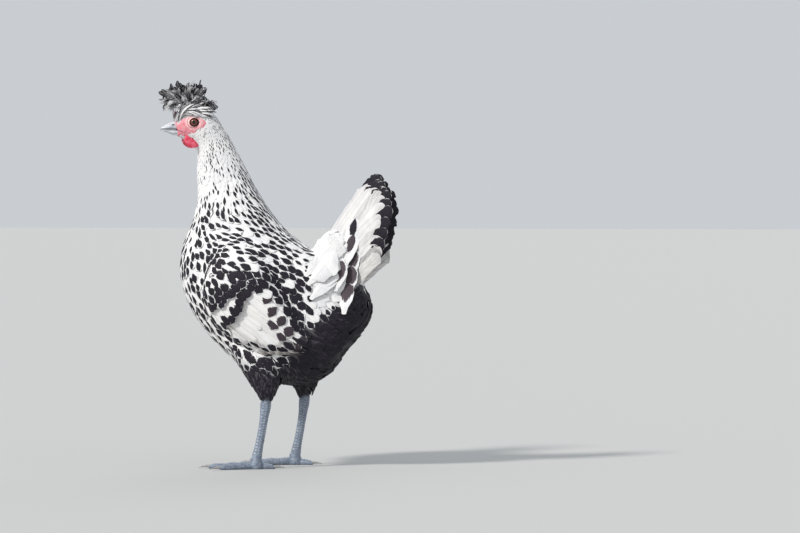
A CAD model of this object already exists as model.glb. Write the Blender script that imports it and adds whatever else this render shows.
"""A life-size silver spangled hen of a small crested breed, standing on a pale floor."""

import math

import bpy
import numpy as np
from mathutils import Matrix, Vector, noise
from mathutils.bvhtree import BVHTree


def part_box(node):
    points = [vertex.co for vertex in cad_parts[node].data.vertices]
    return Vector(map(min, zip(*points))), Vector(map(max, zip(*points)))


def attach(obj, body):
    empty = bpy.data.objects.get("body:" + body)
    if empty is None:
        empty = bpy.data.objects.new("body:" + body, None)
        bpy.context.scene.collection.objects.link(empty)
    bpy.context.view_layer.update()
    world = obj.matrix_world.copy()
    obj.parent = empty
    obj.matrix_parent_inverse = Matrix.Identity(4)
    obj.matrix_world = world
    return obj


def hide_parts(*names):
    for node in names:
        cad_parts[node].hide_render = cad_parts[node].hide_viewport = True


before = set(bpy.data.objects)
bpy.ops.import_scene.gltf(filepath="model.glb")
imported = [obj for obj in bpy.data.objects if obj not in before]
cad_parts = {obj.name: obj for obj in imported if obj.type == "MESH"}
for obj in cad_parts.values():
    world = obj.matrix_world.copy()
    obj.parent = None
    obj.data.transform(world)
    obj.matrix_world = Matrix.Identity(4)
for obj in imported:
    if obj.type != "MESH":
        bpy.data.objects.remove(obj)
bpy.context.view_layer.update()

# ------------------------------------------------------------------------------------------------ studio
# A pale floor, large soft lamps and a bright room round it. The camera stands five metres off at the hen's
# left side, a little behind it and just above its back, with a long lens.
CAMERA_BEARING, CAMERA_RISE = math.radians(98), math.radians(1.5)
CAMERA_DISTANCE, FRAME_WIDTH = 5.0, 0.896
AIM_ASIDE, AIM_HEIGHT = 0.1366, 0.2246  # how far right of the hip, and how high, the camera looks
HEN_Y = 0.00154  # where the hen's hip line stands along Y

bpy.ops.object.select_all(action="DESELECT")
bpy.ops.mesh.primitive_plane_add(size=30)
studio_floor = bpy.context.object
studio_floor.name = "studio_floor"
floor_paint = bpy.data.materials.new("floor_paint")
floor_paint.use_nodes = True
floor_shader = floor_paint.node_tree.nodes["Principled BSDF"]
floor_shader.inputs["Base Color"].default_value = (0.5, 0.5, 0.49, 1)
floor_shader.inputs["Roughness"].default_value = 0.8
studio_floor.data.materials.append(floor_paint)

to_camera = Vector(
    (
        math.sin(CAMERA_BEARING) * math.cos(CAMERA_RISE),
        -math.cos(CAMERA_BEARING) * math.cos(CAMERA_RISE),
        math.sin(CAMERA_RISE),
    )
)
image_right = Vector((math.cos(CAMERA_BEARING), math.sin(CAMERA_BEARING), 0))
aim = image_right * AIM_ASIDE + Vector((0, HEN_Y, AIM_HEIGHT))
bpy.ops.object.camera_add(location=aim + to_camera * CAMERA_DISTANCE)
camera = bpy.context.object
camera.rotation_euler = to_camera.to_track_quat("Z", "Y").to_euler()
camera.data.sensor_width = 36
camera.data.lens = 36 * CAMERA_DISTANCE / FRAME_WIDTH
camera.data.clip_end = 60
bpy.context.scene.camera = camera

# name, where it shines from, how wide it looks in degrees, strength, colour
STUDIO_LAMPS = (
    ("key_lamp", (1.25, -1.15, 1.35), 8, 2.7, (1.0, 0.985, 0.955)),
    ("fill_lamp", (1.4, 1.6, 0.7), 60, 0.2, (0.93, 0.96, 1.0)),
    ("far_lamp", (-1.6, 0.3, 1.2), 40, 0.4, (0.95, 0.97, 1.0)),
)
for lamp_name, shines_from, lamp_width, strength, lamp_colour in STUDIO_LAMPS:
    bpy.ops.object.light_add(type="SUN", location=shines_from)
    lamp = bpy.context.object
    lamp.name = lamp_name
    lamp.data.angle = math.radians(lamp_width)
    lamp.data.energy = strength
    lamp.data.color = lamp_colour
    lamp.rotation_euler = Vector(shines_from).to_track_quat("Z", "Y").to_euler()
room = bpy.data.worlds.new("room")
room.use_nodes = True
room.node_tree.nodes["Background"].inputs["Color"].default_value = (0.86, 0.9, 0.95, 1)
room.node_tree.nodes["Background"].inputs["Strength"].default_value = 0.68
bpy.context.scene.world = room
bpy.context.scene.view_settings.view_transform = "Standard"
bpy.context.scene.view_settings.look = "None"

# ------------------------------------------------------------------------------------------- form and growth
# The feathered form that the coat lies on, with and without the folded wings, and how the feathers grow at
# named places on it. The CAD solids run together in it without a seam.
FLESH = ("head", "neck", "trunk", "tail_coverts", "thigh_L", "thigh_R")
WINGS = ("wing_coverts_L", "wing_coverts_R", "wing_flights_L", "wing_flights_R")
HEAD_TURN = math.radians(21)  # the head looks to the hen's left
NECK_PIVOT_Y = -0.0707 + HEN_Y  # the upright line that it turns about
NECK_FOOT, NECK_RISE = 0.275, 0.09  # where the neck begins to turn, and how much higher it is turned in full
HIP = np.array((0, HEN_Y, 0))  # tables measure from the hip line
pivot = np.array((0, NECK_PIVOT_Y, 0))


def cad_copy(name, nodes, grow=0.0):
    """One merged object of copies of CAD nodes, each swollen a little so that neighbours run together."""
    bpy.ops.object.select_all(action="DESELECT")
    for node in nodes:
        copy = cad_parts[node].copy()
        copy.data = copy.data.copy()
        copy.parent = None
        for key in list(copy.keys()):
            del copy[key]
        bpy.context.scene.collection.objects.link(copy)
        copy.select_set(True)
        bpy.context.view_layer.objects.active = copy
    if len(nodes) > 1:
        bpy.ops.object.join()
    form = bpy.context.object
    form.name = name
    form.data.name = name
    form.data.materials.clear()
    bpy.ops.object.mode_set(mode="EDIT")
    bpy.ops.mesh.select_all(action="SELECT")
    bpy.ops.mesh.remove_doubles(threshold=1e-6)
    bpy.ops.mesh.normals_make_consistent(inside=False)
    bpy.ops.object.mode_set(mode="OBJECT")
    if grow:
        swell = form.modifiers.new("swell", "DISPLACE")
        swell.strength = grow
        swell.mid_level = 0.0
        bpy.ops.object.modifier_apply(modifier="swell")
    return form


def refine(form, voxel, smooth_steps, shrink=0.0):
    """Remeshes the object in even quads and smooths it, keeping its volume by pushing it out again."""
    bpy.ops.object.select_all(action="DESELECT")
    form.select_set(True)
    bpy.context.view_layer.objects.active = form
    remesh = form.modifiers.new("remesh", "REMESH")
    remesh.mode = "VOXEL"
    remesh.voxel_size = voxel
    bpy.ops.object.modifier_apply(modifier="remesh")
    smooth = form.modifiers.new("smooth", "SMOOTH")
    smooth.iterations = smooth_steps
    smooth.factor = 0.5
    bpy.ops.object.modifier_apply(modifier="smooth")
    if shrink:
        draw = form.modifiers.new("draw", "DISPLACE")
        draw.strength = -shrink
        draw.mid_level = 0.0
        bpy.ops.object.modifier_apply(modifier="draw")
    return form


def points_of(thing):
    points = np.empty(len(thing.data.vertices) * 3, np.float32)
    thing.data.vertices.foreach_get("co", points)
    return points.reshape(-1, 3).astype(float)


class Surface:
    """A mesh that feathers lie on: nearest points with smooth normals."""

    def __init__(self, thing):
        mesh = thing.data
        mesh.calc_loop_triangles()
        self.points = points_of(thing)
        self.corners = np.empty(len(mesh.loop_triangles) * 3, np.int32)
        mesh.loop_triangles.foreach_get("vertices", self.corners)
        self.corners = self.corners.reshape(-1, 3)
        normals = np.empty(len(mesh.vertices) * 3, np.float32)
        mesh.vertices.foreach_get("normal", normals)
        self.normals = normals.reshape(-1, 3).astype(float)
        self.tree = BVHTree.FromPolygons(self.points.tolist(), self.corners.tolist())

    def settle(self, places):
        """Nearest surface points and their outward normals."""
        shape = places.shape
        flat = places.reshape(-1, 3)
        found = [self.tree.find_nearest(place) for place in flat.tolist()]
        hits = np.array([hit[0] for hit in found])
        faces = np.array([hit[2] for hit in found])
        normals = self.normals[self.corners[faces]].mean(axis=1)
        normals /= np.linalg.norm(normals, axis=1)[:, None] + 1e-12
        self.faces = faces
        return hits.reshape(shape), normals.reshape(shape)


def head_turn(places):
    """Angle by which the neck and head are turned at each place: none at the neck's foot, all at the nape."""
    rise = np.clip((places[..., 2] - NECK_FOOT) / NECK_RISE, 0, 1)
    return HEAD_TURN * rise * rise * (3 - 2 * rise)


def turn(vectors, angles):
    """Vectors turned to the hen's left about the upright by those angles."""
    cos, sin = np.cos(angles), np.sin(angles)
    x, y, z = vectors[..., 0], vectors[..., 1], vectors[..., 2]
    return np.stack([x * cos - y * sin, x * sin + y * cos, z], axis=-1)


WING_TOP = ((-62, 238), (-49, 252), (-27, 253), (-1, 235), (12, 203), (31, 168), (46, 141))
WING_FOOT = ((-69, 221), (-75, 195), (-69, 171), (-54, 152), (-29, 139), (6, 131), (44, 134))
wing_outline = np.array(WING_TOP + WING_FOOT[::-1]) * 0.001 + np.array((HEN_Y, 0))


def wing_inset(places):
    """How far inside the folded wing's outline each place is, seen from the side; under 0 is outside."""
    flat = places[:, 1:3]
    after = np.roll(wing_outline, -1, axis=0)
    edge = after - wing_outline
    gap = flat[:, None] - wing_outline[None]
    share = np.clip((gap * edge).sum(axis=2) / (edge**2).sum(axis=1), 0, 1)
    distance = np.linalg.norm(gap - share[..., None] * edge, axis=2).min(axis=1)
    crosses = (wing_outline[None, :, 1] > flat[:, None, 1]) != (after[None, :, 1] > flat[:, None, 1])
    slope = edge[:, 0] / np.where(edge[:, 1] == 0, 1e-9, edge[:, 1])
    at = wing_outline[None, :, 0] + (flat[:, None, 1] - wing_outline[None, :, 1]) * slope
    inside = (crosses & (flat[:, None, 0] < at)).sum(axis=1) % 2 == 1
    return np.where(inside, distance, -distance)


bare_form = refine(cad_copy("bare_form", FLESH, 0.0007), 0.002, 5, 0.0007)
plumage_form = Surface(bare_form)
bpy.data.objects.remove(bare_form)
full_form = refine(cad_copy("full_form", FLESH + WINGS, 0.0009), 0.0022, 9, 0.0006)

# The wing's shoulder is bedded in the breast feathers, so the step in front of it is smoothed away
places = points_of(full_form)
near_edge = np.clip(1.3 - np.abs(wing_inset(places)) / 0.015, 0, 1) * (np.abs(places[:, 0]) > 0.02)
near_edge *= np.clip((-0.03 - places[:, 1]) / 0.02, 0, 1) * np.clip((places[:, 2] - 0.14) / 0.02, 0, 1)
bedded = full_form.vertex_groups.new(name="bedded")
for vertex in np.flatnonzero(near_edge > 0.02).tolist():
    bedded.add([vertex], near_edge[vertex], "REPLACE")
soften = full_form.modifiers.new("soften", "SMOOTH")
soften.iterations = 45
soften.vertex_group = "bedded"
bpy.ops.object.modifier_apply(modifier="soften")
full_form.vertex_groups.clear()
winged_form = Surface(full_form)

# How the feathers lie, and how they look, at named places on the left side in millimetres; the right side
# mirrors it. Between the places everything blends. White quills carry one black spangle each at the tip.
# place: x, y, z, then the way the tips point, then length, width, spacing, root depth, and then the spangle's
# length, its width as a share of the vane, the share of feathers that have one, the darkness of the ground,
# and how loose the vane is
LIE_OF_COAT = {
    "head_feathers": (
        ((7, -117, 388), (0.1, 0.4, 0.9), (5.5, 1.7, 1.25, 0.8), (0, 0.5, 0.0, 0.0, 0.4)),
        ((5, -113, 392), (0.1, 0.35, 0.93), (9, 2.2, 1.75, 1.2), (0, 0.5, 0.0, 0.0, 0.4)),
        ((10, -97, 398), (0.1, 0.9, 0.1), (9, 2.0, 1.55, 1.1), (1.8, 0.5, 0.4, 0.0, 0.3)),
        ((8, -80, 401), (0.1, 0.75, -0.65), (13, 2.6, 1.95, 1.3), (3.0, 0.5, 0.75, 0.06, 0.2)),
        ((17, -88, 379), (0.1, 0.9, -0.35), (8, 1.9, 1.45, 1.1), (1.2, 0.4, 0.12, 0.0, 0.4)),
        ((15, -97, 365), (0.0, 0.5, -0.85), (9, 2.1, 1.6, 1.1), (0, 0.2, 0.0, 0.0, 0.3)),
        ((6, -93, 352), (0.0, -0.05, -1.0), (12, 2.6, 2.1, 1.5), (0, 0.3, 0.0, 0.0, 0.2)),
        ((10, -64, 384), (0.1, 0.5, -0.86), (17, 3.0, 2.25, 1.7), (4.0, 0.5, 0.8, 0.1, 0.1)),
        ((18, -78, 372), (0.1, 0.45, -0.88), (15, 2.7, 2.1, 1.6), (2.6, 0.4, 0.35, 0.0, 0.1)),
    ),
    "neck_hackle": (
        ((20, -75, 350), (0.1, 0.22, -0.97), (22, 3.4, 2.75, 2.4), (5.2, 0.42, 0.75, 0.0, 0.1)),
        ((6, -50, 358), (0.05, 0.42, -0.9), (24, 3.6, 2.8, 2.4), (5.0, 0.5, 0.85, 0.12, 0.1)),
        ((6, -91, 335), (0.0, -0.02, -1.0), (22, 3.9, 3.0, 2.4), (2.0, 0.25, 0.05, 0.0, 0.1)),
        ((25, -72, 330), (0.12, 0.2, -0.97), (28, 4.9, 3.8, 3.1), (5.0, 0.4, 0.4, 0.0, 0.1)),
        ((27, -66, 312), (0.12, 0.2, -0.97), (32, 5.9, 4.6, 3.1), (6.8, 0.46, 0.45, 0.0, 0.1)),
        ((8, -91, 316), (0.0, -0.03, -1.0), (26, 5.2, 4.0, 3.1), (4.6, 0.34, 0.2, 0.0, 0.1)),
        ((8, -31, 325), (0.05, 0.55, -0.83), (32, 4.9, 3.8, 3.1), (7.5, 0.5, 0.7, 0.02, 0.1)),
        ((32, -58, 292), (0.25, 0.15, -0.96), (36, 7.6, 6.0, 3.5), (9.6, 0.54, 0.7, 0.0, 0.1)),
        ((10, -97, 290), (0.05, -0.3, -0.95), (30, 7.2, 5.7, 3.5), (8.6, 0.5, 0.66, 0.0, 0.1)),
        ((12, -7, 287), (0.05, 0.75, -0.66), (38, 6.6, 5.0, 3.5), (10.0, 0.58, 0.85, 0.02, 0.1)),
    ),
    "breast_feathers": (
        ((20, -104, 258), (0.15, -0.15, -0.98), (34, 11.5, 7.8, 3.9), (10.5, 0.6, 0.92, 0.0, 0.1)),
        ((40, -70, 270), (0.2, 0.62, -0.76), (34, 10, 7.2, 3.9), (12.5, 0.58, 0.95, 0.0, 0.1)),
        ((15, -109, 222), (0.1, 0.08, -1.0), (36, 12, 8, 3.9), (11.0, 0.62, 0.98, 0.0, 0.1)),
        ((50, -80, 215), (0.15, 0.35, -0.93), (38, 12, 8, 3.9), (12.5, 0.7, 1.0, 0.0, 0.1)),
        ((15, -98, 180), (0.05, 0.4, -0.92), (38, 12, 8.2, 3.9), (11.0, 0.6, 0.98, 0.02, 0.15)),
        ((46, -70, 175), (0.1, 0.55, -0.83), (38, 12, 8.2, 3.9), (12.5, 0.66, 1.0, 0.02, 0.15)),
        ((15, -62, 132), (0.0, 0.7, -0.7), (40, 13, 9, 3.9), (12.5, 0.64, 1.0, 0.12, 0.3)),
        ((48, -45, 140), (0.05, 0.85, -0.5), (42, 13, 8.6, 3.9), (14.0, 0.64, 1.0, 0.02, 0.25)),
        ((52, -18, 122), (0.05, 0.9, -0.42), (44, 13, 8.4, 3.9), (16.5, 0.8, 1.0, 0.1, 0.25)),
        ((52, 14, 116), (0.05, 0.9, -0.42), (44, 13, 8.4, 3.9), (17.5, 0.88, 1.0, 0.2, 0.3)),
    ),
    "wing_coverts": (
        ((64, -58, 215), (0.05, 0.62, -0.78), (30, 12, 7.8, 3.5), (13.5, 0.92, 1.0, 0.0, 0.1)),
        ((64, -62, 185), (0.05, 0.72, -0.69), (30, 12, 7.8, 3.5), (12.5, 0.82, 1.0, 0.0, 0.1)),
        ((66, -38, 232), (0.1, 0.95, -0.28), (32, 11, 7.6, 3.5), (13.5, 0.68, 0.97, 0.0, 0.1)),
        ((70, -38, 208), (0.05, 0.8, -0.6), (30, 12, 7.8, 3.5), (14.0, 0.98, 1.0, 0.0, 0.1)),
    ),
    "back_feathers": (
        ((60, -8, 226), (0.08, 0.96, -0.28), (38, 11, 7.4, 3.5), (14.0, 0.66, 0.97, 0.0, 0.1)),
        ((64, 14, 196), (0.05, 0.78, -0.62), (40, 12, 7.6, 3.5), (14.5, 0.8, 1.0, 0.03, 0.15)),
        ((40, -45, 258), (0.15, 0.97, -0.18), (36, 9.5, 7.0, 3.9), (13.5, 0.5, 0.95, 0.0, 0.1)),
        ((15, 15, 258), (0.05, 0.88, -0.47), (38, 9, 6.4, 3.9), (12.5, 0.58, 0.97, 0.0, 0.1)),
        ((12, 42, 240), (0.05, 0.92, -0.4), (38, 9, 6.4, 3.9), (12.5, 0.62, 0.97, 0.0, 0.1)),
        ((40, 20, 232), (0.12, 0.86, -0.5), (40, 10.5, 7.2, 3.9), (13.0, 0.6, 0.97, 0.0, 0.1)),
        ((46, 37, 206), (0.05, 0.76, -0.65), (40, 11.5, 7.4, 3.9), (14.0, 0.72, 0.98, 0.0, 0.15)),
        ((50, 43, 176), (0.05, 0.66, -0.75), (40, 11.5, 7.4, 3.9), (15.5, 0.9, 1.0, 0.1, 0.2)),
        ((60, 6, 207), (0.05, 0.7, -0.7), (40, 11, 7, 3.5), (16.5, 0.95, 1.0, 0.1, 0.1)),
        ((57, 26, 178), (0.05, 0.66, -0.75), (40, 11, 7, 3.5), (17.5, 1.15, 1.0, 0.18, 0.1)),
        ((38, 60, 204), (0.0, 0.6, -0.45), (36, 12, 8.0, 3.9), (0.0, 0.3, 0.0, 0.12, 0.6)),
        ((41, 61, 189), (0.0, 0.6, -0.6), (36, 12, 8.0, 3.9), (0, 0.3, 0.0, 0.12, 0.6)),
    ),
    "tail_covert_feathers": (
        ((27, 62, 226), (0.05, 0.5, 0.86), (34, 15, 9.4, 3.9), (0.0, 0.3, 0.0, 0.0, 0.3)),
        ((8, 48, 252), (0.0, 0.5, 0.87), (36, 13, 8.4, 3.9), (0.0, 0.3, 0.0, 0.05, 0.3)),
        ((22, 84, 215), (0.05, 0.6, 0.8), (38, 12, 8, 3.9), (0.0, 0.3, 0.0, 0.1, 0.3)),
    ),
    "belly_fluff": (
        ((46, 48, 136), (0.02, 0.88, -0.45), (42, 9, 6.8, 5), (16.0, 0.8, 1.0, 0.75, 0.5)),
        ((15, -5, 96), (0.0, 0.95, -0.2), (34, 8, 6.2, 5), (14, 0.7, 1.0, 0.95, 0.8)),
        ((18, 52, 112), (0.0, 0.75, -0.4), (44, 7.5, 5.8, 6), (16, 0.8, 1.0, 1.0, 1.0)),
        ((12, 100, 168), (0.0, 0.6, 0.5), (44, 7.5, 5.8, 6), (16, 0.8, 1.0, 1.0, 1.0)),
        ((20, 97, 190), (0.0, 0.7, 0.45), (40, 7.5, 5.8, 6), (16, 0.8, 1.0, 1.0, 1.0)),
        ((38, 80, 160), (0.05, 0.8, -0.1), (44, 8, 6.0, 5), (18, 0.9, 1.0, 1.0, 0.9)),
    ),
    "thigh_feathers": (
        ((50, -16, 99), (0.05, 0.3, -0.95), (26, 8, 5.8, 2.8), (10.0, 0.7, 1.0, 0.75, 0.5)),
        ((38, -42, 116), (0.0, 0.35, -0.93), (25, 8, 5.8, 2.8), (9.0, 0.6, 1.0, 0.45, 0.4)),
        ((40, -8, 86), (0.0, 0.05, -1.0), (18, 6.2, 2.9, 1.2), (6, 0.6, 1.0, 0.9, 0.5)),
        ((38, 20, 106), (0.0, 0.3, -0.95), (25, 8, 5.8, 2.8), (10, 0.6, 1.0, 1.0, 0.7)),
    ),
}
COAT_PIECES = tuple(LIE_OF_COAT)
LENGTH, WIDTH, SPACING, ROOT_DEPTH, SPANGLE_LENGTH, SPANGLE_WIDTH, SPANGLED, DARKNESS, LOOSENESS = range(9)
BLEND_POWER = 4.0  # how sharply the nearest place wins

lie_rows = [(piece, row) for piece in COAT_PIECES for row in LIE_OF_COAT[piece]]
lie_places, lie_ways, lie_values, lie_piece = [], [], [], []
for piece, (place, way, size, look) in lie_rows:
    for mirror in (1, -1):
        lie_places.append((place[0] * mirror, place[1], place[2]))
        lie_ways.append((way[0] * mirror, way[1], way[2]))
        lie_values.append(size + look)
        lie_piece.append(COAT_PIECES.index(piece))
lie_places = np.array(lie_places) * 0.001 + HIP
lie_ways = np.array(lie_ways) / np.linalg.norm(lie_ways, axis=1)[:, None]
lie_values, lie_piece = np.array(lie_values, float), np.array(lie_piece)
lie_turns = head_turn(lie_places)
lie_places = turn(lie_places - pivot, lie_turns) + pivot
lie_ways = turn(lie_ways, lie_turns)


def read_lie(places):
    """Way of growth, the nine values and the piece, blended from the named places by distance."""
    gaps = np.linalg.norm(places[:, None] - lie_places[None], axis=2) + 0.004
    shares = gaps**-BLEND_POWER
    shares /= shares.sum(axis=1)[:, None]
    return shares @ lie_ways, shares @ lie_values, lie_piece[np.argmax(shares, axis=1)]

# -------------------------------------------------------------------------------------------------- skin
# One hide over the whole hen. It is the feathered form drawn in by the depth of the coat, and it comes out
# bare as the red face, comb and wattles, and as the slate blue scaly legs, which are worked in finer mesh.
LEG_SKIN_TOP = 0.072  # the hock, below which the legs are bare
SKIN_STEP, FACE_STEP, LEG_STEP = 0.003, 0.0006, 0.0007
HIDE_DEPTH = 0.00085  # metres for each mm of root depth, so that the roots end just below the hide


def in_head(places):
    """Places in the head's own unturned frame: to its left, back from the hip line, and up."""
    moved = places - pivot
    back = turn(moved, np.full(moved.shape[:-1], -HEAD_TURN))
    return back + pivot - HIP


def on_head(places):
    """Places of the head's own frame where they really stand, turned with it."""
    return turn(places + HIP - pivot, np.full(places.shape[:-1], HEAD_TURN)) + pivot


# ellipses seen from the head's side: y, z and radii, mm
BARE_FACE = ((-100, 384.8, 17, 7.8), (-107, 377, 8, 7), (-103, 377.5, 9, 6))
EYE_PLACE = in_head(np.array(sum(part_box("eye_L"), Vector())) / 2)
EYE_RADIUS = 0.0060
EYE_OPENING = (0.0051, 0.0045)  # half width and half height between the lids
GAPE = np.array(((-0.1175, 0.3783), (-0.1065, 0.3735)))  # ends of the fold behind the beak's corner: y, z
THROAT_HEIGHT = 0.34  # the face reaches down no farther


def bare_face(places):
    """How bare each place of the head is, from 0 in feathers to 1 on the face, seen from the side."""
    head = in_head(places) * 1000
    y, z = head[:, 1], head[:, 2]
    bare = np.zeros(len(places))
    for centre_y, centre_z, half_length, half_height in BARE_FACE:
        reach = np.sqrt(((y - centre_y) / half_length) ** 2 + ((z - centre_z) / half_height) ** 2)
        bare = np.maximum(bare, np.clip((1.12 - reach) / 0.24, 0, 1))
    front = np.clip((-109.5 - y) / 3, 0, 1)
    side = np.clip((np.abs(head[:, 0]) - 3) / 2, 0, 1)
    below_brow = np.clip(((y + 117.6) * 1.23 + 382 - z) / 1.6, 0, 1)
    return np.maximum(bare * side, front) * below_brow * (places[:, 2] > THROAT_HEIGHT)


def coat_depth(places):
    """How deep the skin lies below the feathered form."""
    depth = read_lie(places)[1][:, ROOT_DEPTH] * HIDE_DEPTH
    on_wing = np.clip(wing_inset(places) / 0.01, 0, 1) * (np.abs(places[:, 0]) > 0.03)
    return np.where(on_wing > 0, depth + (0.0045 - depth) * on_wing, depth) * (1 - bare_face(places))


def shift(thing, amounts):
    """Moves each vertex along its normal by its own amount."""
    mesh = thing.data
    normals = np.empty(len(mesh.vertices) * 3, np.float32)
    mesh.vertices.foreach_get("normal", normals)
    points = points_of(thing) + normals.reshape(-1, 3) * amounts[:, None]
    mesh.vertices.foreach_set("co", points.reshape(-1).astype(np.float32))
    mesh.update()


def join_to(first, *others):
    """Joins the other objects into the first."""
    bpy.ops.object.select_all(action="DESELECT")
    for thing in (first, *others):
        thing.select_set(True)
    bpy.context.view_layer.objects.active = first
    bpy.ops.object.join()


def noise_at(points, scale, seed):
    """Soft noise from -1 to 1 at each point."""
    offset = Vector((seed * 1.7, seed * 2.3, seed * 3.1))
    return np.array([noise.noise(Vector(p) * scale + offset) for p in points.tolist()])


skin = full_form.copy()
skin.data = full_form.data.copy()
skin.name = "skin"
bpy.context.scene.collection.objects.link(skin)
shift(skin, -coat_depth(points_of(skin)))
refine(skin, SKIN_STEP, 4)

# The head and its bare appendages, in fine mesh: the face's folds, the warty edge of comb and wattles
head_flesh = refine(cad_copy("head_flesh", ("head",), 0.0003), 0.0012, 6)
places = points_of(head_flesh)
shift(head_flesh, -0.0017 * (1 - bare_face(places)) * np.clip((places[:, 2] - THROAT_HEIGHT) / 0.02, 0.4, 1))
appendages = ("comb_L", "comb_R", "wattle_L", "wattle_R")
earlobes = ("earlobe_L", "earlobe_R")
fleshy = refine(cad_copy("appendages", appendages, 0.00045), 0.0007, 4)
fleshy_surface = Surface(fleshy)
join_to(head_flesh, fleshy, refine(cad_copy("earlobes", earlobes), 0.0007, 8, 0.0012))
refine(head_flesh, FACE_STEP, 2)
places = points_of(head_flesh)
fleshy_gap = np.array([fleshy_surface.tree.find_nearest(place)[3] for place in places.tolist()])
on_fleshy = np.clip(1 - (fleshy_gap - 0.0004) / 0.0008, 0, 1)
bare = bare_face(places)
head_places = in_head(places)
aside = np.abs(head_places[:, 0])
eye_reach = np.linalg.norm(head_places[:, 1:] - EYE_PLACE[1:], axis=1)


def gape_fold(head_places):
    """The fold that runs back and down from the corner of the beak: 1 in its middle line."""
    start, end = GAPE
    run = end - start
    flat = head_places[:, 1:]
    share = np.clip(((flat - start) * run).sum(axis=1) / (run**2).sum(), 0, 1)
    gap = np.linalg.norm(flat - start - share[:, None] * run, axis=1)
    return np.clip(1 - gap / (0.00095 - 0.0005 * share), 0, 1) * (flat[:, 0] > start[0])


wrinkle = noise_at(places, 700, 1) * 0.00016 + noise_at(places, 260, 2) * 0.00022
folds = 0.00022 * np.sin(2 * math.pi * (eye_reach + noise_at(places, 200, 3) * 0.0009) / 0.0019)
folds *= np.clip(1 - np.abs(eye_reach - 0.0098) / 0.0035, 0, 1) * (aside > 0.008)
warts = noise_at(places, 900, 4) * 0.00025 + noise_at(places, 420, 5) * 0.0002
relief = bare * (wrinkle + folds) * (1 - on_fleshy) + warts * on_fleshy
shift(head_flesh, relief - 0.0007 * gape_fold(head_places))

# Eyelids: the skin rises over the eyeball, ends in a thin rim, and dips behind the eye inside it
places = points_of(head_flesh)
head_places = in_head(places)
from_eye = head_places[:, 1:] - EYE_PLACE[1:]
eye_reach = np.linalg.norm(from_eye, axis=1)
opening = np.linalg.norm(from_eye / EYE_OPENING, axis=1)
lid_radius = EYE_RADIUS + 0.00075
lid_side = EYE_PLACE[0] + np.sqrt(np.clip(lid_radius**2 - eye_reach**2, 0, None))
sunk_side = EYE_PLACE[0] + np.sqrt(np.clip((EYE_RADIUS - 0.0009) ** 2 - eye_reach**2, 0, None))
aside, sign = np.abs(head_places[:, 0]), np.sign(head_places[:, 0])
near = (eye_reach < 0.0105) & (aside > 0.008)
wrap = np.clip((0.0102 - eye_reach) / 0.0038, 0, 1)
wrap = wrap**2 * (3 - 2 * wrap)
covered = np.where(eye_reach < lid_radius, lid_side, aside)
lidded = aside + (covered - aside) * wrap
rim, crease = np.exp(-(((opening - 1.16) / 0.12) ** 2)), np.exp(-(((opening - 1.62) / 0.16) ** 2))
lidded += 0.0006 * rim + 0.0004 * crease
lidded = np.where(opening < 1, np.minimum(sunk_side, aside), lidded)
head_places[:, 0] = np.where(near, lidded * sign, head_places[:, 0])
head_flesh.data.vertices.foreach_set("co", on_head(head_places).reshape(-1).astype(np.float32))
head_flesh.data.update()

# The bare legs: shank, pad and toes in one, with a knuckle at the hock that reaches up into the thigh
legs, leg_surfaces = [], []
for side, mirror in (("L", 1), ("R", -1)):
    toes = ["toe_" + toe + "_" + side for toe in ("inner", "middle", "outer", "hind")]
    leg = cad_copy("leg_" + side, ["shank_" + side, "foot_pad_" + side] + toes, 0.00035)
    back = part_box("shank_" + side)[0].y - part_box("shank_L")[0].y
    bpy.ops.object.select_all(action="DESELECT")
    bpy.ops.mesh.primitive_uv_sphere_add(
        segments=24, ring_count=16, radius=1,
        location=(mirror * 0.0365, -0.0072 + HEN_Y + back, 0.0765), scale=(0.0052, 0.0058, 0.0085),
    )
    knuckle = bpy.context.object
    bpy.ops.object.transform_apply(location=False, rotation=False, scale=True)
    join_to(leg, knuckle)
    refine(leg, LEG_STEP, 3)
    places = points_of(leg)
    pads = noise_at(places, 800, 6) * 0.00012 + noise_at(places, 300, 7) * 0.0001
    shift(leg, pads)
    places = points_of(leg)
    places[:, 2] = np.maximum(places[:, 2], 0.00002)
    leg.data.vertices.foreach_set("co", places.reshape(-1).astype(np.float32))
    leg.data.update()
    legs.append(leg)
    leg_surfaces.append(Surface(leg))

bpy.ops.object.select_all(action="DESELECT")
skin.select_set(True)
bpy.context.view_layer.objects.active = skin
for flesh in (head_flesh, *legs):
    union = skin.modifiers.new("union", "BOOLEAN")
    union.operation = "UNION"
    union.solver = "MANIFOLD"
    union.object = flesh
    bpy.ops.object.modifier_apply(modifier="union")
    bpy.data.objects.remove(flesh)
skin.data.polygons.foreach_set("use_smooth", np.ones(len(skin.data.polygons), bool))

# What shows where on the skin: red face, brighter comb and wattles, dark hide, scales
places = points_of(skin)
fleshy_gap = np.array([fleshy_surface.tree.find_nearest(place)[3] for place in places.tolist()])
zones = np.stack(
    [
        bare_face(places),
        np.clip(1 - (fleshy_gap - 0.0003) / 0.0009, 0, 1),
        np.clip(read_lie(places)[1][:, DARKNESS], 0, 1),
        np.clip((0.079 - places[:, 2]) / 0.003, 0, 1),
    ],
    1,
)
from_eye = in_head(places)[:, 1:] - EYE_PLACE[1:]
opening = np.linalg.norm(from_eye / EYE_OPENING, axis=1)
lid = np.maximum(np.exp(-(((opening - 1.25) / 0.16) ** 2)), 0.7 * np.exp(-(((opening - 1.75) / 0.16) ** 2)))
inside_lid = np.clip((1.14 - opening) / 0.14, 0, 1)
lid = (lid - (lid + 1) * inside_lid) * (bare_face(places) > 0.5)
skin.data.attributes.new("lid", "FLOAT", "POINT").data.foreach_set("value", lid.astype(np.float32))
folded = gape_fold(in_head(places)) * (places[:, 2] > THROAT_HEIGHT)
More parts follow.
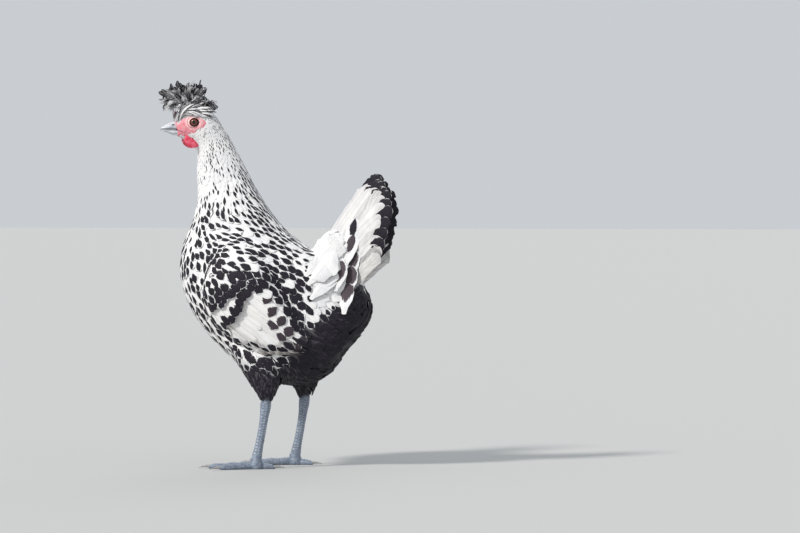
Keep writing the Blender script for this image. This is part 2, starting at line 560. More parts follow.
skin.data.attributes.new("gape", "FLOAT", "POINT").data.foreach_set("value", folded.astype(np.float32))
zone_layer = skin.data.color_attributes.new(name="zone", type="FLOAT_COLOR", domain="POINT")
zone_layer.data.foreach_set("color", zones.reshape(-1).astype(np.float32))


def node(tree, kind, inputs=(), **settings):
    """A shader node with its settings, its input values, and links into its inputs."""
    made = tree.nodes.new(kind)
    for key, value in settings.items():
        setattr(made, key, value)
    for key, value in dict(inputs).items():
        if isinstance(value, bpy.types.NodeSocket):
            tree.links.new(value, made.inputs[key])
        else:
            made.inputs[key].default_value = value
    return made


def maths(tree, operation, a, b=0.0, c=0.0):
    """A Math node's result."""
    return node(tree, "ShaderNodeMath", {0: a, 1: b, 2: c}, operation=operation).outputs[0]


def ramp(tree, value, low, high, out_low=0.0, out_high=1.0):
    """The value eased from one range to another."""
    inputs = {0: value, 1: low, 2: high, 3: out_low, 4: out_high}
    return node(tree, "ShaderNodeMapRange", inputs, interpolation_type="SMOOTHSTEP").outputs[0]


def mix(tree, share, first, second, kind="MIX"):
    """A mix of two colours."""
    inputs = {0: share, 6: first, 7: second}
    return node(tree, "ShaderNodeMix", inputs, data_type="RGBA", blend_type=kind).outputs[2]


def new_material(name):
    """A material with its tree and its shader."""
    material = bpy.data.materials.new(name)
    material.use_nodes = True
    return material, material.node_tree, material.node_tree.nodes["Principled BSDF"]


hide_material, tree, shader = new_material("hide")
place = node(tree, "ShaderNodeTexCoord").outputs["Object"]
zone = node(tree, "ShaderNodeAttribute", attribute_name="zone")
zone_parts = node(tree, "ShaderNodeSeparateColor", {0: zone.outputs["Color"]}).outputs
blotch = node(tree, "ShaderNodeTexNoise", {"Vector": place, "Scale": 260.0, "Detail": 3.0}).outputs[0]
grain = node(tree, "ShaderNodeTexNoise", {"Vector": place, "Scale": 1500.0, "Detail": 2.0}).outputs[0]
pimples = node(tree, "ShaderNodeTexVoronoi", {"Vector": place, "Scale": 950.0}).outputs["Distance"]
plates = node(
    tree, "ShaderNodeTexVoronoi", {"Vector": place, "Scale": 620.0}, feature="DISTANCE_TO_EDGE"
).outputs[0]
under_white = mix(tree, ramp(tree, blotch, 0.35, 0.65), (0.8, 0.79, 0.78, 1), (0.7, 0.69, 0.69, 1))
under_dark = mix(tree, grain, (0.03, 0.028, 0.032, 1), (0.09, 0.085, 0.09, 1))
under = mix(tree, ramp(tree, zone_parts[2], 0.35, 0.6), under_white, under_dark)
face = mix(tree, ramp(tree, blotch, 0.38, 0.62), (0.74, 0.22, 0.26, 1), (0.88, 0.48, 0.49, 1))
face = mix(tree, ramp(tree, pimples, 0.0, 0.5, 0.3, 0.7), face, (0.72, 0.22, 0.27, 1))
lid = node(tree, "ShaderNodeAttribute", attribute_name="lid").outputs["Fac"]
gape = node(tree, "ShaderNodeAttribute", attribute_name="gape").outputs["Fac"]
face = mix(tree, ramp(tree, gape, 0.1, 0.7, 0.0, 0.85), face, (0.16, 0.1, 0.13, 1))
face = mix(tree, lid, face, (0.94, 0.66, 0.64, 1))
face = mix(tree, ramp(tree, lid, 0.0, -0.6), face, (0.05, 0.02, 0.02, 1))
fleshy_red = mix(tree, ramp(tree, blotch, 0.35, 0.65), (0.66, 0.035, 0.085, 1), (0.84, 0.14, 0.2, 1))
face = mix(tree, zone_parts[1], face, fleshy_red)
scaly = mix(tree, ramp(tree, blotch, 0.35, 0.7), (0.17, 0.21, 0.28, 1), (0.3, 0.35, 0.43, 1))
scaly = mix(tree, ramp(tree, plates, 0.09, 0.0), scaly, (0.08, 0.1, 0.13, 1))
colour = mix(tree, maths(tree, "MAXIMUM", zone_parts[0], zone_parts[1]), under, face)
colour = mix(tree, zone.outputs["Alpha"], colour, scaly)
tree.links.new(colour, shader.inputs["Base Color"])
tree.links.new(ramp(tree, grain, 0.3, 0.7, 0.38, 0.52), shader.inputs["Roughness"])
height = maths(tree, "MULTIPLY_ADD", zone.outputs["Alpha"], ramp(tree, plates, 0.0, 0.12), pimples)
bump = node(tree, "ShaderNodeBump", {"Height": height, "Strength": 0.5, "Distance": 0.0003}).outputs[0]
tree.links.new(bump, shader.inputs["Normal"])
shader.inputs["Subsurface Weight"].default_value = 0.12
shader.inputs["Subsurface Radius"].default_value = (0.004, 0.0015, 0.001)
shader.inputs["Subsurface Scale"].default_value = 1.0
skin.data.materials.clear()
skin.data.materials.append(hide_material)
skin.data.polygons.foreach_set("material_index", np.zeros(len(skin.data.polygons), np.int32))
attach(skin, "root")
leg_nodes = [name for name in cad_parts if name.startswith(("shank_", "foot_pad_", "toe_"))]
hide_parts(*FLESH, *leg_nodes, *appendages, *earlobes)

# An unwrap of the skin's own form, on which every feather keeps its colours at the place of its root
bpy.ops.object.select_all(action="DESELECT")
full_form.select_set(True)
bpy.context.view_layer.objects.active = full_form
bpy.ops.object.mode_set(mode="EDIT")
bpy.ops.mesh.select_all(action="SELECT")
bpy.ops.uv.smart_project(angle_limit=math.radians(66), island_margin=0.004)
bpy.ops.object.mode_set(mode="OBJECT")
unwrap = np.empty(len(full_form.data.loops) * 2, np.float32)
full_form.data.uv_layers.active.data.foreach_get("uv", unwrap)
full_form.data.calc_loop_triangles()
loop_corners = np.empty(len(full_form.data.loop_triangles) * 3, np.int32)
full_form.data.loop_triangles.foreach_get("loops", loop_corners)
unwrap_corners = unwrap.reshape(-1, 2)[loop_corners].reshape(-1, 3, 2)
bpy.data.objects.remove(full_form)


def skin_unwrap(places):
    """Where those places lie on the unwrap of the skin's form."""
    hits = winged_form.settle(places)[0]
    faces = winged_form.faces
    a, b, c = (winged_form.points[winged_form.corners[faces][:, k]] for k in range(3))
    whole = np.linalg.norm(np.cross(b - a, c - a), axis=1) + 1e-15
    second = np.linalg.norm(np.cross(hits - a, c - a), axis=1) / whole
    third = np.linalg.norm(np.cross(b - a, hits - a), axis=1) / whole
    shares = np.clip(np.stack([1 - second - third, second, third], 1), 0, 1)
    return (unwrap_corners[faces] * shares[..., None]).sum(axis=1)


# ----------------------------------------------------------------------------------------------- feathers
# A contour feather is a thin shaft with a vane of barbs on each side, rounded at the tip and arched across.
# Each is a closed vane, thickest along the shaft, whose root is sunk in the coat below its neighbours.
PATCH = 0.003  # size of a feather's patch on its bake map


def unit(vectors):
    return vectors / (np.linalg.norm(vectors, axis=-1)[..., None] + 1e-12)


def vane_outline(shares, bend, slim):
    """Half width of a vane along its length, as a share of the full one: slim at first, round at the tip."""
    grow = np.clip(shares / 0.45, 0, 1)
    grow = slim + (1 - slim) * grow * grow * (3 - 2 * grow)
    past = np.clip((shares - bend) / (1 - bend), 0, 1)
    return grow * np.sqrt(np.clip(1 - past**2.2, 0.015, 1))


def tip_bend(width, length, roundness):
    """Share of its length at which each vane starts to round off."""
    return np.clip(1 - roundness * width / length, 0.3, 0.97)[:, None]


def row_shares(rows, bend):
    """Where the rows of each vane lie, close together round its tip."""
    straight = rows // 2
    lower = np.linspace(0, 1, straight, endpoint=False)[None] * bend
    upper = bend + (1 - bend) * np.sin(np.linspace(0, math.pi / 2, rows - straight))[None]
    return np.concatenate([lower, upper], axis=1)


def trace_back(surface, tips, ways_of, length, shares):
    """Centre line of each vane, walked from its tip against the lie of the coat over the surface."""
    places, normals = surface.settle(tips)
    line = [places]
    for k in range(shares.shape[1] - 1, 0, -1):
        step = (shares[:, k] - shares[:, k - 1]) * length
        ways = ways_of(places)
        ways = ways - (ways * normals).sum(axis=1)[:, None] * normals
        ways /= np.linalg.norm(ways, axis=1)[:, None] + 1e-12
        places, normals = surface.settle(places - ways * step[:, None])
        line.append(places)
    return np.stack(line[::-1], axis=1)


def vane_grid(line, ups, shares, bend, width, columns, rng, slim, fray, slant):
    """Flat vanes along their centre lines: vertices, (feathers, rows, columns, 3), and the shares across."""
    tangents = unit(np.gradient(line, axis=1))
    across = unit(np.cross(ups, tangents))
    sides = np.linspace(-1, 1, columns)
    half = vane_outline(shares, bend, slim) * width[:, None] / 2
    uneven = rng.uniform(-1, 1, (len(line), shares.shape[1], columns))
    ragged = 1 + fray[:, None, None] * uneven * np.abs(sides)
    reach = half[..., None] * sides * ragged
    sweep = half[..., None] * np.abs(sides) ** 1.5 * slant * np.clip((1 - shares) * 6, 0, 1)[..., None]
    grid = line[:, :, None] + across[:, :, None] * reach[..., None] + tangents[:, :, None] * sweep[..., None]
    return grid, sides


def lay_vanes(surface, tips, ways_of, width, length, depth, lift, rows, columns, rng, *, roundness, fray,
              slim=0.35, slant=0.35, arch=0.08):
    """Vanes laid over a surface from their tips back, each vertex held at its height above it."""
    bend = tip_bend(width, length, roundness)
    shares = row_shares(rows, bend)
    line = trace_back(surface, tips, ways_of, length, shares)
    ups = surface.settle(line)[1]
    grid, sides = vane_grid(line, ups, shares, bend, width, columns, rng, slim, fray, slant)
    places, ups = surface.settle(grid)
    height = lift[:, None] - depth[:, None] * (1 - shares) ** 1.3
    height = height[..., None] + arch * width[:, None, None] * (1 - sides**2)
    return places + ups * height[..., None], sides, shares


def line_length(line):
    return np.linalg.norm(np.diff(line, axis=1), axis=2).sum(axis=1)


def free_vanes(line, ups, shares, width, rng, *, columns, roundness, fray, arch, slim=0.3, slant=0.3):
    """Vanes along centre lines in the open air, arched away from their undersides."""
    bend = tip_bend(width, line_length(line), roundness)
    grid, sides = vane_grid(line, ups, shares, bend, width, columns, rng, slim, fray, slant)
    rise = arch * width[:, None, None] * (1 - sides**2) * vane_outline(shares, bend, slim)[..., None]
    return grid + ups[:, :, None] * rise[..., None], sides, shares


def build_vanes(name, vanes, marks, tints):
    """One joined mesh of vanes with their markings, and with maps of the vane and for baking."""
    vertices, sides, shares = vanes
    count, rows, columns = vertices.shape[:3]
    size = rows * columns
    quads = []
    for r in range(rows - 1):
        near, far = r * columns, (r + 1) * columns
        quads += [(near + c, near + c + 1, far + c + 1, far + c) for c in range(columns - 1)]
        quads.append((near, far, far + columns - 1, near + columns - 1))
    quads = np.array(quads)
    ends = np.array((range(columns - 1, -1, -1), range(size - columns, size)))
    offsets = (np.arange(count) * size)[:, None]
    loops = np.concatenate([quads.reshape(1, -1) + offsets, ends.reshape(1, -1) + offsets], axis=1)
    starts = np.concatenate([np.arange(len(quads)) * 4, len(quads) * 4 + np.arange(2) * columns])
    starts = (starts[None] + (np.arange(count) * loops.shape[1])[:, None]).reshape(-1)
    loops = loops.reshape(-1)
    mesh = bpy.data.meshes.new(name)
    mesh.vertices.add(count * size)
    mesh.vertices.foreach_set("co", vertices.reshape(-1).astype(np.float32))
    mesh.loops.add(len(loops))
    mesh.loops.foreach_set("vertex_index", loops.astype(np.int32))
    mesh.polygons.add(len(starts))
    mesh.polygons.foreach_set("loop_start", starts.astype(np.int32))
    mesh.update(calc_edges=True)
    ends_of_edge = np.empty(len(mesh.edges) * 2, np.int32)
    mesh.edges.foreach_get("vertices", ends_of_edge)
    row, column = np.divmod(ends_of_edge.reshape(-1, 2) % size, columns)
    rim = (column == 0) | (column == columns - 1)
    end = (row == 0) | (row == rows - 1)
    same_column, same_row = column[:, 0] == column[:, 1], row[:, 0] == row[:, 1]
    sharp = (rim.all(axis=1) & same_column) | (end.all(axis=1) & same_row)
    mesh.attributes.new("sharp_edge", "BOOLEAN", "EDGE").data.foreach_set("value", sharp)
    along = np.broadcast_to(shares[..., None], (count, rows, columns)).reshape(-1)
    across = np.broadcast_to(sides, (count, rows, columns)).reshape(-1) * 0.5 + 0.5
    vane_map = mesh.uv_layers.new(name="Vane")
    vane_map.data.foreach_set("uv", np.stack([across, along], 1)[loops].reshape(-1).astype(np.float32))
    roots = np.repeat(skin_unwrap(vertices[:, 0].mean(axis=1)), size, axis=0)
    patch = np.stack([across - 0.5, along**2.2 - 0.5], 1) * PATCH
    bake_map = mesh.uv_layers.new(name="OFBake")
    bake_map.data.foreach_set("uv", (patch + roots)[loops].reshape(-1).astype(np.float32))
    for key, values in (("mark", marks), ("tint", tints)):
        layer = mesh.color_attributes.new(name=key, type="FLOAT_COLOR", domain="POINT")
        layer.data.foreach_set("color", np.repeat(values, size, axis=0).reshape(-1).astype(np.float32))
    mesh.polygons.foreach_set("use_smooth", np.ones(len(starts), bool))
    mesh.materials.append(feather_material)
    coat = bpy.data.objects.new(name, mesh)
    bpy.context.scene.collection.objects.link(coat)
    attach(coat, "root")
    return coat


def new_group(name, inputs, outputs):
    """An empty shader node group with named inputs and outputs."""
    tree = bpy.data.node_groups.new(name, "ShaderNodeTree")
    for sockets, way in ((inputs, "INPUT"), (outputs, "OUTPUT")):
        for socket, kind in sockets:
            tree.interface.new_socket(socket, in_out=way, socket_type="NodeSocket" + kind)
    return tree, tree.nodes.new("NodeGroupInput").outputs, tree.nodes.new("NodeGroupOutput").inputs


# Barbs: fine ribs that leave the shaft at a slant, a lighter shaft, and long streaks down the vane
barbs, put_in, put_out = new_group(
    "barbs",
    (("Vane", "Vector"), ("Random", "Float"), ("Ribs", "Float")),
    (("Rib", "Float"), ("Shaft", "Float"), ("Streak", "Float"), ("Aside", "Float")),
)
parts = node(barbs, "ShaderNodeSeparateXYZ", {0: put_in["Vane"]}).outputs
off_shaft = maths(barbs, "ABSOLUTE", maths(barbs, "MULTIPLY_ADD", parts[0], 2.0, -1.0))
slanted = maths(barbs, "MULTIPLY_ADD", off_shaft, -0.22, parts[1])
seed = maths(barbs, "MULTIPLY", put_in["Random"], 37.0)
rib_step = maths(barbs, "MULTIPLY", slanted, put_in["Ribs"])
rib_place = node(barbs, "ShaderNodeCombineXYZ", {0: rib_step, 1: off_shaft, 2: seed}).outputs[0]
rib_looks = {"Vector": rib_place, "Scale": 1.0, "Detail": 3.0, "Roughness": 0.7}
rib_noise = node(barbs, "ShaderNodeTexNoise", rib_looks)
streak_across = maths(barbs, "MULTIPLY", parts[0], 12.0)
streak_along = maths(barbs, "MULTIPLY", parts[1], 2.2)
streak_place = node(barbs, "ShaderNodeCombineXYZ", {0: streak_across, 1: streak_along, 2: seed}).outputs[0]
streak_noise = node(barbs, "ShaderNodeTexNoise", {"Vector": streak_place, "Scale": 1.0, "Detail": 2.0})
barbs.links.new(rib_noise.outputs[0], put_out["Rib"])
barbs.links.new(ramp(barbs, off_shaft, 0.14, 0.03), put_out["Shaft"])
barbs.links.new(streak_noise.outputs[0], put_out["Streak"])
barbs.links.new(off_shaft, put_out["Aside"])

# One feather's colours: its ground, from white to charcoal, and a black spangle with a barbed rim at the tip
feather_material, tree, shader = new_material("feather")
vane_uv = node(tree, "ShaderNodeUVMap", uv_map="Vane").outputs[0]
mark = node(tree, "ShaderNodeAttribute", attribute_name="mark")
tint = node(tree, "ShaderNodeAttribute", attribute_name="tint")
spangle_length, spangle_width, ground_dark = node(
    tree, "ShaderNodeSeparateColor", {0: mark.outputs["Color"]}
).outputs[:3]
cream, edging, streaks = node(tree, "ShaderNodeSeparateColor", {0: tint.outputs["Color"]}).outputs[:3]
barb_group = tree.nodes.new("ShaderNodeGroup")
barb_group.node_tree = barbs
tree.links.new(vane_uv, barb_group.inputs["Vane"])
tree.links.new(mark.outputs["Alpha"], barb_group.inputs["Random"])
barb_group.inputs["Ribs"].default_value = 46.0
rib, shaft, streak, aside = barb_group.outputs
share_along = node(tree, "ShaderNodeSeparateXYZ", {0: vane_uv}).outputs[1]
from_tip = maths(tree, "SUBTRACT", 1.0, share_along)
behind_middle = maths(tree, "MULTIPLY_ADD", spangle_length, -0.42, from_tip)
half_length = maths(tree, "MAXIMUM", maths(tree, "MULTIPLY", spangle_length, 0.58), 0.001)
along_spangle = maths(tree, "ABSOLUTE", maths(tree, "DIVIDE", behind_middle, half_length))
across_spangle = maths(tree, "DIVIDE", aside, maths(tree, "MAXIMUM", spangle_width, 0.01))
lengthwise, crosswise = maths(tree, "POWER", along_spangle, 1.7), maths(tree, "POWER", across_spangle, 1.6)
reach = maths(tree, "ADD", lengthwise, crosswise)
reach = maths(tree, "ADD", reach, maths(tree, "MULTIPLY_ADD", rib, 1.3, -0.65))
reach = maths(tree, "ADD", reach, maths(tree, "MULTIPLY_ADD", streak, 0.9, -0.45))
spangle = maths(tree, "MULTIPLY", ramp(tree, reach, 1.12, 0.88), ramp(tree, spangle_length, 0.005, 0.02))
place = node(tree, "ShaderNodeTexCoord").outputs["Object"]
patches = node(tree, "ShaderNodeTexNoise", {"Vector": place, "Scale": 60.0, "Detail": 2.0}).outputs[0]
white = mix(tree, ramp(tree, patches, 0.35, 0.7), (0.84, 0.83, 0.82, 1), (0.76, 0.75, 0.76, 1))
white = mix(tree, cream, white, (0.72, 0.62, 0.48, 1))
charcoal = mix(tree, ramp(tree, rib, 0.3, 0.7), (0.005, 0.0045, 0.007, 1), (0.034, 0.03, 0.04, 1))
grey_streak = maths(tree, "MULTIPLY", ramp(tree, streak, 0.5, 0.6), streaks)
charcoal = mix(tree, grey_streak, charcoal, (0.2, 0.19, 0.22, 1))
pale_shaft = maths(tree, "MULTIPLY", ramp(tree, aside, 0.2, 0.08), tint.outputs["Alpha"])
charcoal = mix(tree, pale_shaft, charcoal, (0.72, 0.71, 0.73, 1))
dark_share = maths(tree, "ADD", ground_dark, maths(tree, "MULTIPLY_ADD", rib, 0.5, -0.25))
ground = mix(tree, ramp(tree, dark_share, 0.3, 0.7), white, charcoal)
near_rim = ramp(tree, maths(tree, "MAXIMUM", aside, share_along), 0.84, 0.95)
ground = mix(tree, maths(tree, "MULTIPLY", near_rim, edging), ground, (0.1, 0.09, 0.1, 1))
ground = mix(tree, maths(tree, "MULTIPLY", shaft, 0.25), ground, (0.55, 0.52, 0.48, 1), "MULTIPLY")
black = mix(tree, ramp(tree, rib, 0.3, 0.7), (0.004, 0.0035, 0.006, 1), (0.026, 0.022, 0.032, 1))
black = mix(tree, maths(tree, "MULTIPLY", tint.outputs["Alpha"], 0.9), black, (0.1, 0.076, 0.088, 1))
plume = mix(tree, spangle, ground, black)
shade = maths(tree, "MULTIPLY", ramp(tree, rib, 0.48, 0.3), 0.2)
plume = mix(tree, shade, plume, (0.45, 0.45, 0.48, 1), "MULTIPLY")
tree.links.new(plume, shader.inputs["Base Color"])
tree.links.new(ramp(tree, rib, 0.3, 0.7, 0.5, 0.68), shader.inputs["Roughness"])
relief = maths(tree, "MULTIPLY_ADD", shaft, 0.8, rib)
bump = node(tree, "ShaderNodeBump", {"Height": relief, "Strength": 0.35, "Distance": 0.0004}).outputs[0]
tree.links.new(bump, shader.inputs["Normal"])
shader.inputs["Specular IOR Level"].default_value = 0.18

# ------------------------------------------------------------------------------------------- body feathers
# Contour feathers of the head, neck, breast, back, rump, belly and thighs, in pieces by region. Those above
# the wing's lower edge lie over the wing's own edges, and those below it tuck in under the wing.
WING_WAY = np.array((0.0, 0.81, -0.58))  # the way the folded flight feathers point
WING_CROSS = np.array((0.0, 0.58, 0.81))  # square to it, from the lower edge of the wing up to the back
# tips of the two bars of spangled coverts on the wing, y and z in mm
BAR_ONE = ((-24, 205), (-34, 195), (-48, 184), (-61, 176))
BAR_TWO = ((-12, 206), (-20, 190), (-27, 177), (-31, 169), (-38, 163.5), (-46, 159))
FLIGHTS_TOP = 0.1575  # how far up across the wing the white flight feathers show
SPACING_SCALE = 0.00088  # metres for each mm of spacing, so that the coat closes
TRIES = 9  # places tried for each one that fits
CROWD_CELL = 0.012  # wider than any spacing, so that only the next cells can crowd a place


def below_wing(places):
    """Places lower than the wing's lower edge, or than its level before and behind the wing."""
    foot = np.array(WING_FOOT[2:]) * 0.001
    return places[:, 2] < np.interp(places[:, 1], foot[:, 0] + HEN_Y, foot[:, 1])


def bar_front(places):
    """How far each place lies behind the first bar of the wing, along the flight feathers."""
    bar = np.array(BAR_ONE[::-1]) * 0.001 + np.array((HEN_Y, 0))
    return places @ WING_WAY - np.interp(places @ WING_CROSS, bar @ WING_CROSS[1:], bar @ WING_WAY[1:])


def in_flights(places):
    """Places of the wing that the bars and the flight feathers cover, which are laid one by one."""
    inside = (wing_inset(places) > 0.004) & (np.abs(places[:, 0]) > 0.04)
    return inside & (bar_front(places) > -0.005) & (places @ WING_CROSS < FLIGHTS_TOP)


def bar_lift(places):
    """Extra height of the coverts that lap over the wing's first bar."""
    near_bar = np.clip(1 + (bar_front(places) + 0.004) / 0.026, 0, 1)
    return 0.0021 * near_bar * np.clip(wing_inset(places) / 0.01, 0, 1) * (np.abs(places[:, 0]) > 0.04)


def as_one(sets):
    """Sets of vanes with the same rows and columns, as one set."""
    grids, all_sides, all_shares = zip(*sets)
    return np.concatenate(grids), all_sides[0], np.concatenate(all_shares)


def scatter(surface, spacing_of, keep, seed, stretch=1.0):
    """Points spread over a surface, no two nearer than its spacing, and farther along the coat's lie."""
    rng = np.random.default_rng(seed)
    corners = surface.points[surface.corners]
    areas = np.linalg.norm(np.cross(corners[:, 1] - corners[:, 0], corners[:, 2] - corners[:, 0]), axis=1) / 2
    middle = corners.mean(axis=1)
    spacings = spacing_of(middle)
    wanted = areas / spacings**2
    wanted[~keep(middle)] = 0
    count = int(wanted.sum() * TRIES)
    faces = rng.choice(len(areas), count, p=wanted / wanted.sum())
    a, b = rng.random((2, count))
    a, b = np.where(a + b > 1, 1 - a, a), np.where(a + b > 1, 1 - b, b)
    tri = corners[faces]
    places = tri[:, 0] + a[:, None] * (tri[:, 1] - tri[:, 0]) + b[:, None] * (tri[:, 2] - tri[:, 0])
    near = spacings[faces]
    ways = unit(read_lie(middle)[0])[faces]
    spare = 1 - 1 / stretch**2
    grid, kept = {}, []
    reach = range(-1, 2)
    keys = np.floor(places / CROWD_CELL).astype(int)
    tried = zip(places.tolist(), keys.tolist(), near.tolist(), ways.tolist())
    for i, (place, key, gap, way) in enumerate(tried):
        crowd = [
            other
            for dx in reach
            for dy in reach
            for dz in reach
            for other in grid.get((key[0] + dx, key[1] + dy, key[2] + dz), ())
        ]
        clear = True
        for other in crowd:
            dx, dy, dz = place[0] - other[0], place[1] - other[1], place[2] - other[2]
            along_lie = dx * way[0] + dy * way[1] + dz * way[2]
            if dx * dx + dy * dy + dz * dz - spare * along_lie * along_lie < gap * gap:
                clear = False
                break
        if clear:
            grid.setdefault(tuple(key), []).append(place)
            kept.append(i)
    return places[kept]


def spacing_at(places):
    values = read_lie(places)[1]
    denser = 1 - 0.4 * np.clip(values[:, LOOSENESS] - 0.45, 0, None)
    return values[:, SPACING] * SPACING_SCALE * denser


def keep_upper(places):
    return ~below_wing(places) & ~in_flights(places) & (bare_face(places) < 0.5)


def keep_lower(places):
    return below_wing(places) & (places[:, 2] > LEG_SKIN_TOP + 0.004)


tips_upper = scatter(winged_form, spacing_at, keep_upper, 11, stretch=1.3)
tips_lower = scatter(plumage_form, spacing_at, keep_lower, 12, stretch=1.3)
CLEAR_OF_EYE = 0.0085  # no feather's root is nearer to the eye's middle, seen from the side
# rows and columns of each vane, how gradually its tip narrows, and how ragged its edges are
PIECE_SHAPES = {
    "head_feathers": (7, 5, 1.5, 0.16),
    "neck_hackle": (9, 6, 1.35, 0.12),
    "thigh_feathers": (10, 5, 0.75, 0.05),
    "belly_fluff": (11, 5, 0.75, 0.05),
}
for number, piece in enumerate(COAT_PIECES):
    parts_of_piece = []
    for surface, tips, layer in ((winged_form, tips_upper, 0), (plumage_form, tips_lower, 1)):
        _, values, owner = read_lie(tips)
        mine = owner == number
        if not mine.any():
            continue
        rng = np.random.default_rng(100 + number * 2 + layer)
        tips, values = tips[mine], values[mine]
        count = len(tips)
        depth = values[:, ROOT_DEPTH] * 0.001
        length = values[:, LENGTH] * 0.001 * rng.uniform(0.88, 1.12, count)
        # Those behind the eye are shortened until none of them starts under its lids
        way = unit(read_lie(tips)[0])
        for _ in range(7):
            roots = in_head(tips - way * length[:, None])
            off_eye = np.hypot(roots[:, 1] - EYE_PLACE[1], roots[:, 2] - EYE_PLACE[2])
            length = np.where(off_eye < CLEAR_OF_EYE, length * 0.85, length)
        width = values[:, WIDTH] * 0.001 * rng.uniform(0.9, 1.1, count)
        looseness = values[:, LOOSENESS]
        sway = rng.normal(0, 1, (count, 3)) * (0.07 + 0.24 * looseness)[:, None]

        def ways_of(places, sway=sway):
            return unit(read_lie(places)[0]) + sway

        by_size = np.clip(width / 0.009, 0.15, 1)
        lift = (0.0003 + rng.uniform(-0.0002, 0.0003, count)) * by_size
        lift += looseness * rng.uniform(-0.0006, 0.0012, count) * by_size
        if layer == 0:
            lift = lift + bar_lift(tips)
        rows, columns, narrowing, ragged = PIECE_SHAPES.get(piece, (12, 7, 0.75, 0.05))
        vanes = lay_vanes(surface, tips, ways_of, width, length, depth, lift, rows, columns, rng,
                          roundness=narrowing + 1.6 * looseness**2, fray=ragged + 0.5 * looseness)
        spangle_size = values[:, SPANGLE_LENGTH] * 0.001 * rng.uniform(0.72, 1.25, count)
        spangle_size *= (rng.random(count) < values[:, SPANGLED]) * (piece != "tail_covert_feathers")
        spangle_width = values[:, SPANGLE_WIDTH] * rng.uniform(0.8, 1.15, count)
        ground = values[:, DARKNESS] + rng.uniform(-0.06, 0.06, count)
        marks = np.stack([spangle_size / length, spangle_width, ground, rng.random(count)], 1)
        streaky = 0.8 if piece == "thigh_feathers" else 0.15
        tints = np.stack([np.zeros(count), np.zeros(count), looseness * streaky, np.zeros(count)], 1)
        parts_of_piece.append((vanes, marks, tints))
    vanes, marks, tints = zip(*parts_of_piece)
    coat = build_vanes(piece, as_one(vanes), np.concatenate(marks), np.concatenate(tints))


# ------------------------------------------------------------------------------------------------- wings
# Each folded wing shows two bars of broad spangled coverts, then the white secondaries with a spangle near
# each tip, one over the next from the back down, and the long primaries along its lower edge. Plain ones
# lie hidden beneath and close the gaps between them.
# row: tips (y, z) in mm from the lower edge up, how many, length, width, height over the wing at the first
# and the last, spangle length, its width, cream, dark edge
FLIGHT_ROWS = (
    ("primaries", ((-2, 130), (12, 129.5), (27, 131), (41, 134)), 6, 70, 10, (0.0, 0.4), (0, 0.5), 0.4, 0.75),
    (
        "lower secondaries",
        ((-12, 139), (0, 136.5), (14, 135.5), (27, 136)),
        8, 54, 14, (0.2, 0.5), (0, 0.5), 0.12, 0.4,
    ),
    ("lower coverts", ((-30, 142), (-18, 137), (-6, 134.5)), 5, 46, 12, (0.6, 1.0), (0, 0.5), 0.1, 0.35),
    (
        "outer secondaries",
        ((34, 134.5), (22.5, 143), (12.5, 157.5)),
        3, 60, 13, (0.6, 0.9), (13, 0.85), 0.12, 0.0,
    ),
    (
        "inner secondaries",
        ((40.5, 141.5), (29.2, 149), (19, 162.8), (8.4, 174.8), (3, 188.5)),
        5, 58, 15.5, (1.0, 1.9), (14, 1.0), 0.05, 0.0,
    ),
    ("second bar", BAR_TWO[::-1], 10, 34, 13, (1.5, 2.5), (12.5, 1.15), 0.05, 0.0),
    ("first bar", BAR_ONE[::-1], 8, 32, 14, (2.2, 3.0), (12, 1.0), 0.0, 0.0),
    (
        "under secondaries",
        ((38, 143), (30, 152), (22, 165), (14, 178), (7, 191)),
        8, 52, 15, (-0.6, -0.1), (0, 0.5), 0.08, 0.0,
    ),
    ("under coverts", ((-16, 149), (-8, 157), (0, 168)), 5, 46, 14, (-0.9, -0.7), (0, 0.5), 0.06, 0.0),
)


def along(points, shares):
    """Places at shares of the length of a line through the points."""
    points = np.asarray(points, float)
    steps = np.concatenate([[0], np.cumsum(np.linalg.norm(np.diff(points, axis=0), axis=1))])
    return np.stack([np.interp(shares * steps[-1], steps, column) for column in points.T], axis=-1)


def onto_side(places, mirror):
    """Places (y, z) on the outer side of the winged form, on the left for mirror 1."""
    hits = []
    for y, z in places.tolist():
        start = Vector((mirror * 0.2, y, z))
        hit = winged_form.tree.ray_cast(start, Vector((-mirror, 0, 0)))[0]
        hits.append(hit if hit is not None else Vector((mirror * 0.05, y, z)))
    return np.array(hits)


